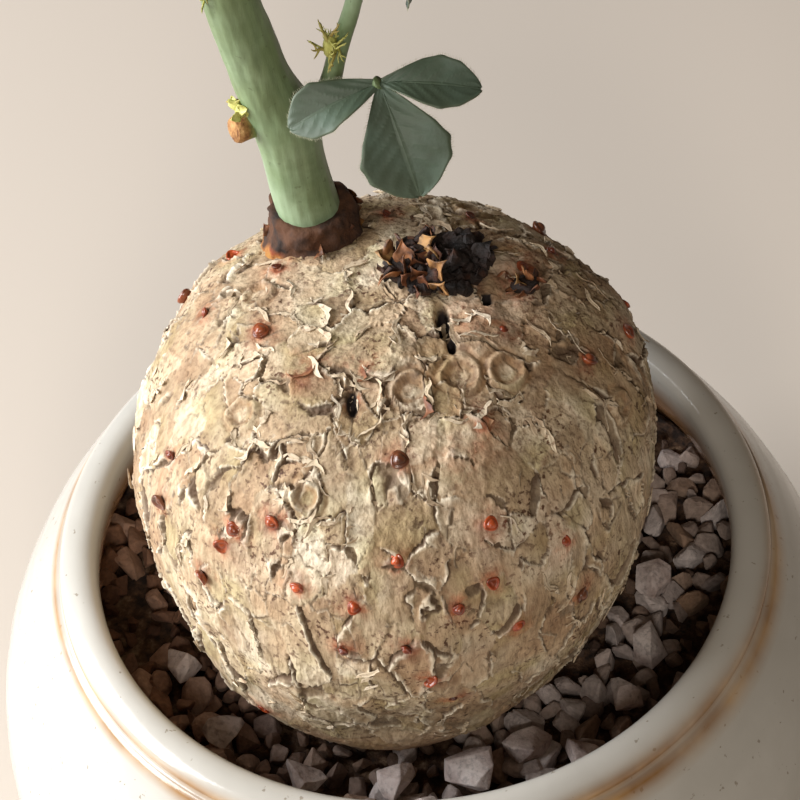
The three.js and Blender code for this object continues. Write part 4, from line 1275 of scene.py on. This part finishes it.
def spike(line, thick, sides=5, rings=7):
    """A closed tapering bristle along a line: its points and faces."""
    path = smooth_line(line, rings)
    heading = np.gradient(path, axis=0)
    heading /= np.linalg.norm(heading, axis=1, keepdims=True)
    side = np.cross(heading, (0.31, 0.92, 0.11))
    side /= np.linalg.norm(side, axis=1, keepdims=True)
    other_side = np.cross(heading, side)
    a = np.linspace(0, 2 * math.pi, sides, endpoint=False)
    radius = thick * (1 - 0.75 * np.linspace(0, 1, rings) ** 1.2)
    rim = path[:, None] + radius[:, None, None] * (side[:, None] * np.cos(a)[None, :, None]
                                                   + other_side[:, None] * np.sin(a)[None, :, None])
    faces = ring_grid(sides, rings, closed_rows=False).tolist()
    faces.append(tuple(range(sides))[::-1])
    faces.append(tuple((rings - 1) * sides + k for k in range(sides)))
    return rim.reshape(-1, 3), faces


def joined(name, pieces):
    """One mesh object from many point arrays and face lists."""
    points, faces, first = [], [], 0
    for piece_points, piece_faces in pieces:
        points.append(piece_points)
        faces += [tuple(int(k) + first for k in face) for face in piece_faces]
        first += len(piece_points)
    return new_mesh(name, np.vstack(points) * MM, faces)


def forked_bristle(name, tall, spread):
    trunk = [(0, 0, -0.4), (0.1, 0, tall * 0.35), (-0.05, 0.08, tall * 0.7), (0.15, 0, tall)]
    left = [(0.08, 0, tall * 0.35), (-spread * 0.6, 0.1, tall * 0.6), (-spread, 0, tall * 0.9)]
    right = [(0, 0.04, tall * 0.55), (spread * 0.5, -0.1, tall * 0.72), (spread * 0.9, 0.1, tall * 0.85)]
    return joined(name, [spike(trunk, 0.26), spike(left, 0.18), spike(right, 0.17)])


PAD_SHIFT = (0.9, 0.2, 0.9)
PAD_SHRINK = 0.72
bristle_shapes = [forked_bristle("bristle_a", 2.6, 0.8), forked_bristle("bristle_b", 2.1, 1.0),
                  forked_bristle("bristle_c", 3.0, 0.6)]
for node, count, small, large in (("stipules_shoot", 15, 0.6, 0.95), ("stipules_stem", 9, 0.5, 0.8)):
    pad, pad_places, pad_unit = lumpy_ball(node + "_pad", *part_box(node), 161, 0.2, 16, 24)
    pad_middle = sum(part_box(node), Vector()) / 2
    pad_moved = Matrix.Translation(pad_middle) @ Matrix.Translation(Vector(PAD_SHIFT) * MM)
    pad.data.transform(pad_moved @ Matrix.Scale(PAD_SHRINK, 4) @ Matrix.Translation(-pad_middle))
    pad.data.materials.append(young.material)
    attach(pad, "root")
    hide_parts(node)
    pad_centre = pad_places.mean(axis=0)
    shrunk = pad_centre + np.array(PAD_SHIFT) + 0.7 * (pad_places - pad_centre)
    tuft_spots = pick_spots(shrunk, pad_unit, pad_unit[:, 2] > -0.55, count, 0.42, 7)
    tuft = planted(node + "_bristles", *tuft_spots, bristle_shapes, young.material, small, large, 24)
    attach(tuft, "root")
for shape in bristle_shapes:
    bpy.data.objects.remove(shape)


# ---- Leaves -----------------------------------------------------------------------------------------
# Each leaf is a slender petiole with three leaflets: thin, dark blue-green blades under a waxy bloom.
# A blade folds a little along its sunken midrib, quilts between its side veins, waves at its toothed margin,
# and carries a fringe of very short pale hairs.
PETIOLE_R = 0.55
LEAVES = {
    "leaf_low": ([(-7.2, 10.6, 148.6), (-4.6, 9.6, 151.8), (-1.4, 8.6, 155.6), (1.3, 8, 158)],
                 [((-9.2, 5.2, 154.9), 5.6, (0.1, -0.5, 1), 0.35, 0.8),
                  ((4.6, 0, 147.4), 9.4, (0.1, -0.75, 0.66), 0.15, 1.2),
                  ((12.6, 7.2, 156.2), 5.6, (0.05, -0.45, 1), 0.25, 0.8)]),
    "leaf_shoot_front": ([(1.9, 11.4, 173.6), (3.3, 10.2, 177), (4.6, 9.4, 180), (5.6, 9, 182)],
                         [((5.3, 9.4, 167.8), 5.2, (0.9, -0.5, 0.2), 0.2, 0.8),
                          ((3, -1.8, 183.6), 6.4, (0.2, 0.3, 1), 0.25, 0.8),
                          ((17, 5.6, 180.4), 6.2, (0.1, -0.3, 1), 0.25, 0.8)]),
    "leaf_shoot_back": ([(2.3, 12.6, 178.4), (4.4, 15.4, 183), (6, 17.8, 187), (7, 19.4, 189.6)],
                        [((-2.4, 26, 188.4), 6, (0, 0.3, 1), 0.25, 0.8),
                         ((8.6, 30.4, 185.6), 7, (0, 0.4, 1), 0.25, 0.8),
                         ((18, 19.6, 187.6), 6, (0.2, 0.2, 1), 0.25, 0.8)]),
    "leaf_stem_left": ([(-16.4, 10, 174.8), (-22, 8.4, 180), (-25.6, 7.4, 185), (-27.4, 7, 188.4)],
                       [((-28.4, -3, 190.4), 7, (0, -0.2, 1), 0.25, 0.8),
                        ((-40.6, 5.6, 181.8), 8.4, (-0.4, 0, 1), 0.25, 0.8),
                        ((-31, 18.6, 185.4), 7, (0, 0.2, 1), 0.25, 0.8)]),
    "leaf_stem_right": ([(-14.6, 9.4, 182.4), (-11, 6, 189), (-8.8, 3.4, 194), (-7.8, 2.2, 196.8)],
                        [((-17.4, -5.6, 193.8), 6.4, (0, -0.3, 1), 0.25, 0.8),
                         ((-4.4, -10.4, 191), 8, (0.1, -0.4, 1), 0.25, 0.8),
                         ((4.6, 4.8, 193.4), 6.4, (0.2, 0, 1), 0.25, 0.8)]),
    "leaf_stem_back": ([(-16.8, 11, 188), (-19, 16, 194.6), (-20.4, 19.6, 199.4), (-21, 21.2, 202)],
                       [((-32, 22.6, 199.4), 6.2, (-0.2, 0.1, 1), 0.25, 0.8),
                        ((-23.6, 33.6, 198), 7.4, (0, 0.4, 1), 0.25, 0.8),
                        ((-10.4, 25.4, 199.8), 6.2, (0.2, 0.2, 1), 0.25, 0.8)]),
}


def blade(joint, tip, width, face, fold, arch, seed):
    """One leaflet: its sheet of points and faces, its vein, margin and side values, and its hair spots."""
    joint = np.array(joint, dtype=float)
    along = np.array(tip) - joint
    long = np.linalg.norm(along)
    across = np.cross(face, along)
    across /= np.linalg.norm(across)
    up = np.cross(along, across)
    up /= np.linalg.norm(up)
    u, v = np.meshgrid(np.linspace(0.02, 1, 54), np.linspace(-1, 1, 23), indexing="ij")
    half = width / 2 * np.sin(math.pi * np.clip(u, 0, 0.999) ** 1.4) ** 0.7 + 0.2
    teeth = 0.09 * np.abs(np.sin(u * long * 1.35 + seed)) ** 3 * np.clip((u - 0.35) * 4, 0, 1)
    half = half * (1 + teeth * np.abs(v) ** 6 * 0.6) * (1 + 0.06 * np.sin(u * 7 + seed))
    spread = v * half
    rear = -0.045 * long * (1 - np.abs(v)) * np.clip(u - 0.93, 0, 1) / 0.07 * 0.4
    vein_turn = u * 6.2 + 0.25 * np.sin(5 * u + seed) - np.abs(v) * 1.9
    side_vein = np.cos(2 * math.pi * vein_turn + 0.9 * np.sign(v))
    quilt = 0.035 * side_vein * np.clip(np.abs(v) * 3, 0, 1) * (1 - v ** 4)
    wave = 0.3 * np.abs(v) ** 3 * np.sin(u * 9 + seed + 2.2 * (v > 0))
    midrib = np.exp(-(spread / 0.24) ** 2) * (1 - 0.5 * u)
    lift = np.abs(spread) * fold + arch * np.sin(math.pi * u) + quilt + wave - 0.2 * midrib
    grid = joint + along * (u + rear / long)[..., None] + across * spread[..., None] + up * lift[..., None]
    points, faces = closed_sheet(grid, 0.16 + 0.12 * (1 - np.abs(v)) + 0.3 * midrib)
    vein = np.clip(np.exp(-(spread / 0.15) ** 2) + 0.4 * np.clip(side_vein - 0.86, 0, 1) / 0.14
                   * (1 - v ** 2), 0, 1)
    rim = np.clip((np.abs(v) - 0.9) * 10, 0, 1)
    layers = {"vein": vein, "rim": rim}
    values = {key: np.tile(layer.reshape(-1), 2) for key, layer in layers.items()}
    values["back"] = np.repeat([1.0, 0.0], u.size)
    hair_rows = np.arange(6, 54)
    hair_spots = np.vstack([grid[hair_rows, 0], grid[hair_rows, -1]])
    hair_outs = np.vstack([np.tile(-across + 0.3 * up, (48, 1)), np.tile(across + 0.3 * up, (48, 1))])
    return points, faces, values, hair_spots, hair_outs


leaf_skin = Finish("leaf_skin", roughness=0.52)
deep = leaf_skin.ramp(leaf_skin.noise(260, 5), (0.35, linear(26, 34, 26)), (0.65, linear(42, 54, 43)))
dusted = leaf_skin.ramp(leaf_skin.noise(150, 6), (0.44, 0.05), (0.62, 0.95))
top_color = leaf_skin.mix(dusted, deep, linear(76, 97, 90))
veined = leaf_skin.mix(leaf_skin.math("MULTIPLY", leaf_skin.attribute("vein"), 0.35), top_color,
                       linear(88, 106, 82))
edged_leaf = leaf_skin.mix(leaf_skin.math("MULTIPLY", leaf_skin.attribute("rim"), 0.4), veined,
                           linear(110, 112, 80))
leaf_skin.color(leaf_skin.mix(leaf_skin.math("MULTIPLY", leaf_skin.attribute("back"), 0.5), edged_leaf,
                              linear(92, 108, 86)))
leaf_skin.bump(leaf_skin.noise(700, 5), 0.00015, 0.5)
leaf_skin.bump(leaf_skin.attribute("vein"), 0.0001, 0.6)

hair_finish = Finish("margin_hairs", roughness=0.6)
hair_finish.color(linear(188, 186, 160))
hair_points, hair_faces = spike([(0, 0, -0.05), (0.04, 0, 0.2), (0.1, 0, 0.42)], 0.035, 4, 4)
hair = joined("hair", [(hair_points, hair_faces)])
hair_spots, hair_outs = [], []
leaf_number = 0


def leaf_object(name, blades):
    """One mesh object from several blades, with their values stored as attributes."""
    made = joined(name, [(points, faces.tolist()) for points, faces, *_ in blades])
    for key in ("vein", "rim", "back"):
        mark(made, key, np.concatenate([values[key] for _, _, values, _, _ in blades]))
    made.data.materials.append(leaf_skin.material)
    return made


for node, (petiole_line, leaflets) in LEAVES.items():
    joint = petiole_line[-1]
    blades = []
    for tip_place, width, face, fold, arch in leaflets:
        leaf_number += 1
        blades.append(blade(joint, tip_place, width, face, fold, arch, leaf_number * 1.7))
        hair_spots.append(blades[-1][3])
        hair_outs.append(blades[-1][4])
    leaf = leaf_object(node + "_blades", blades)
    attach(leaf, "root")
    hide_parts(node)
    stalk, stalk_share = limb(node + "_petiole", petiole_line,
                              lambda t: PETIOLE_R * (1.25 - 0.5 * t + 0.7 * max(0.0, t - 0.88) / 0.12), 60,
                              20, 0.05, 171)
    mark(stalk, "bloom", np.full(len(stalk_share), 0.2))
    stalk.data.materials.append(stem_skin.material)
    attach(stalk, "root")
margin_hairs = planted("margin_hairs", np.vstack(hair_spots), np.vstack(hair_outs), [hair],
                       hair_finish.material, 0.6, 1.1, 31)
bpy.data.objects.remove(hair)
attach(margin_hairs, "root")


# ---- Tip buds ---------------------------------------------------------------------------------------
# The stem and the shoot each end in a bud: a cluster of young leaflets, still folded round the growing tip.
for node, long, count in (("stem_tip_bud", 4.8, 6), ("shoot_tip_bud", 3.2, 5)):
    bud_low, bud_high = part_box(node)
    foot_place = np.array([(bud_low.x + bud_high.x) / 2, (bud_low.y + bud_high.y) / 2,
                           bud_low.z]) / MM - np.array([0, 0, 0.6])
    blades = []
    for k in range(count):
        a = k * 2.4
        lean = 0.12 + 0.05 * k
        tip_place = foot_place + long * np.array([lean * math.cos(a), lean * math.sin(a), 1 - 0.06 * k])
        blades.append(blade(foot_place + 0.25 * np.array([math.cos(a), math.sin(a), 0]), tip_place,
                            0.42 * long, (-math.cos(a), -math.sin(a), 0.1), 0.6, -0.25, k * 1.3))
    tip_leaves = leaf_object(node + "_leaves", blades)
    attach(tip_leaves, "root")
    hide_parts(node)
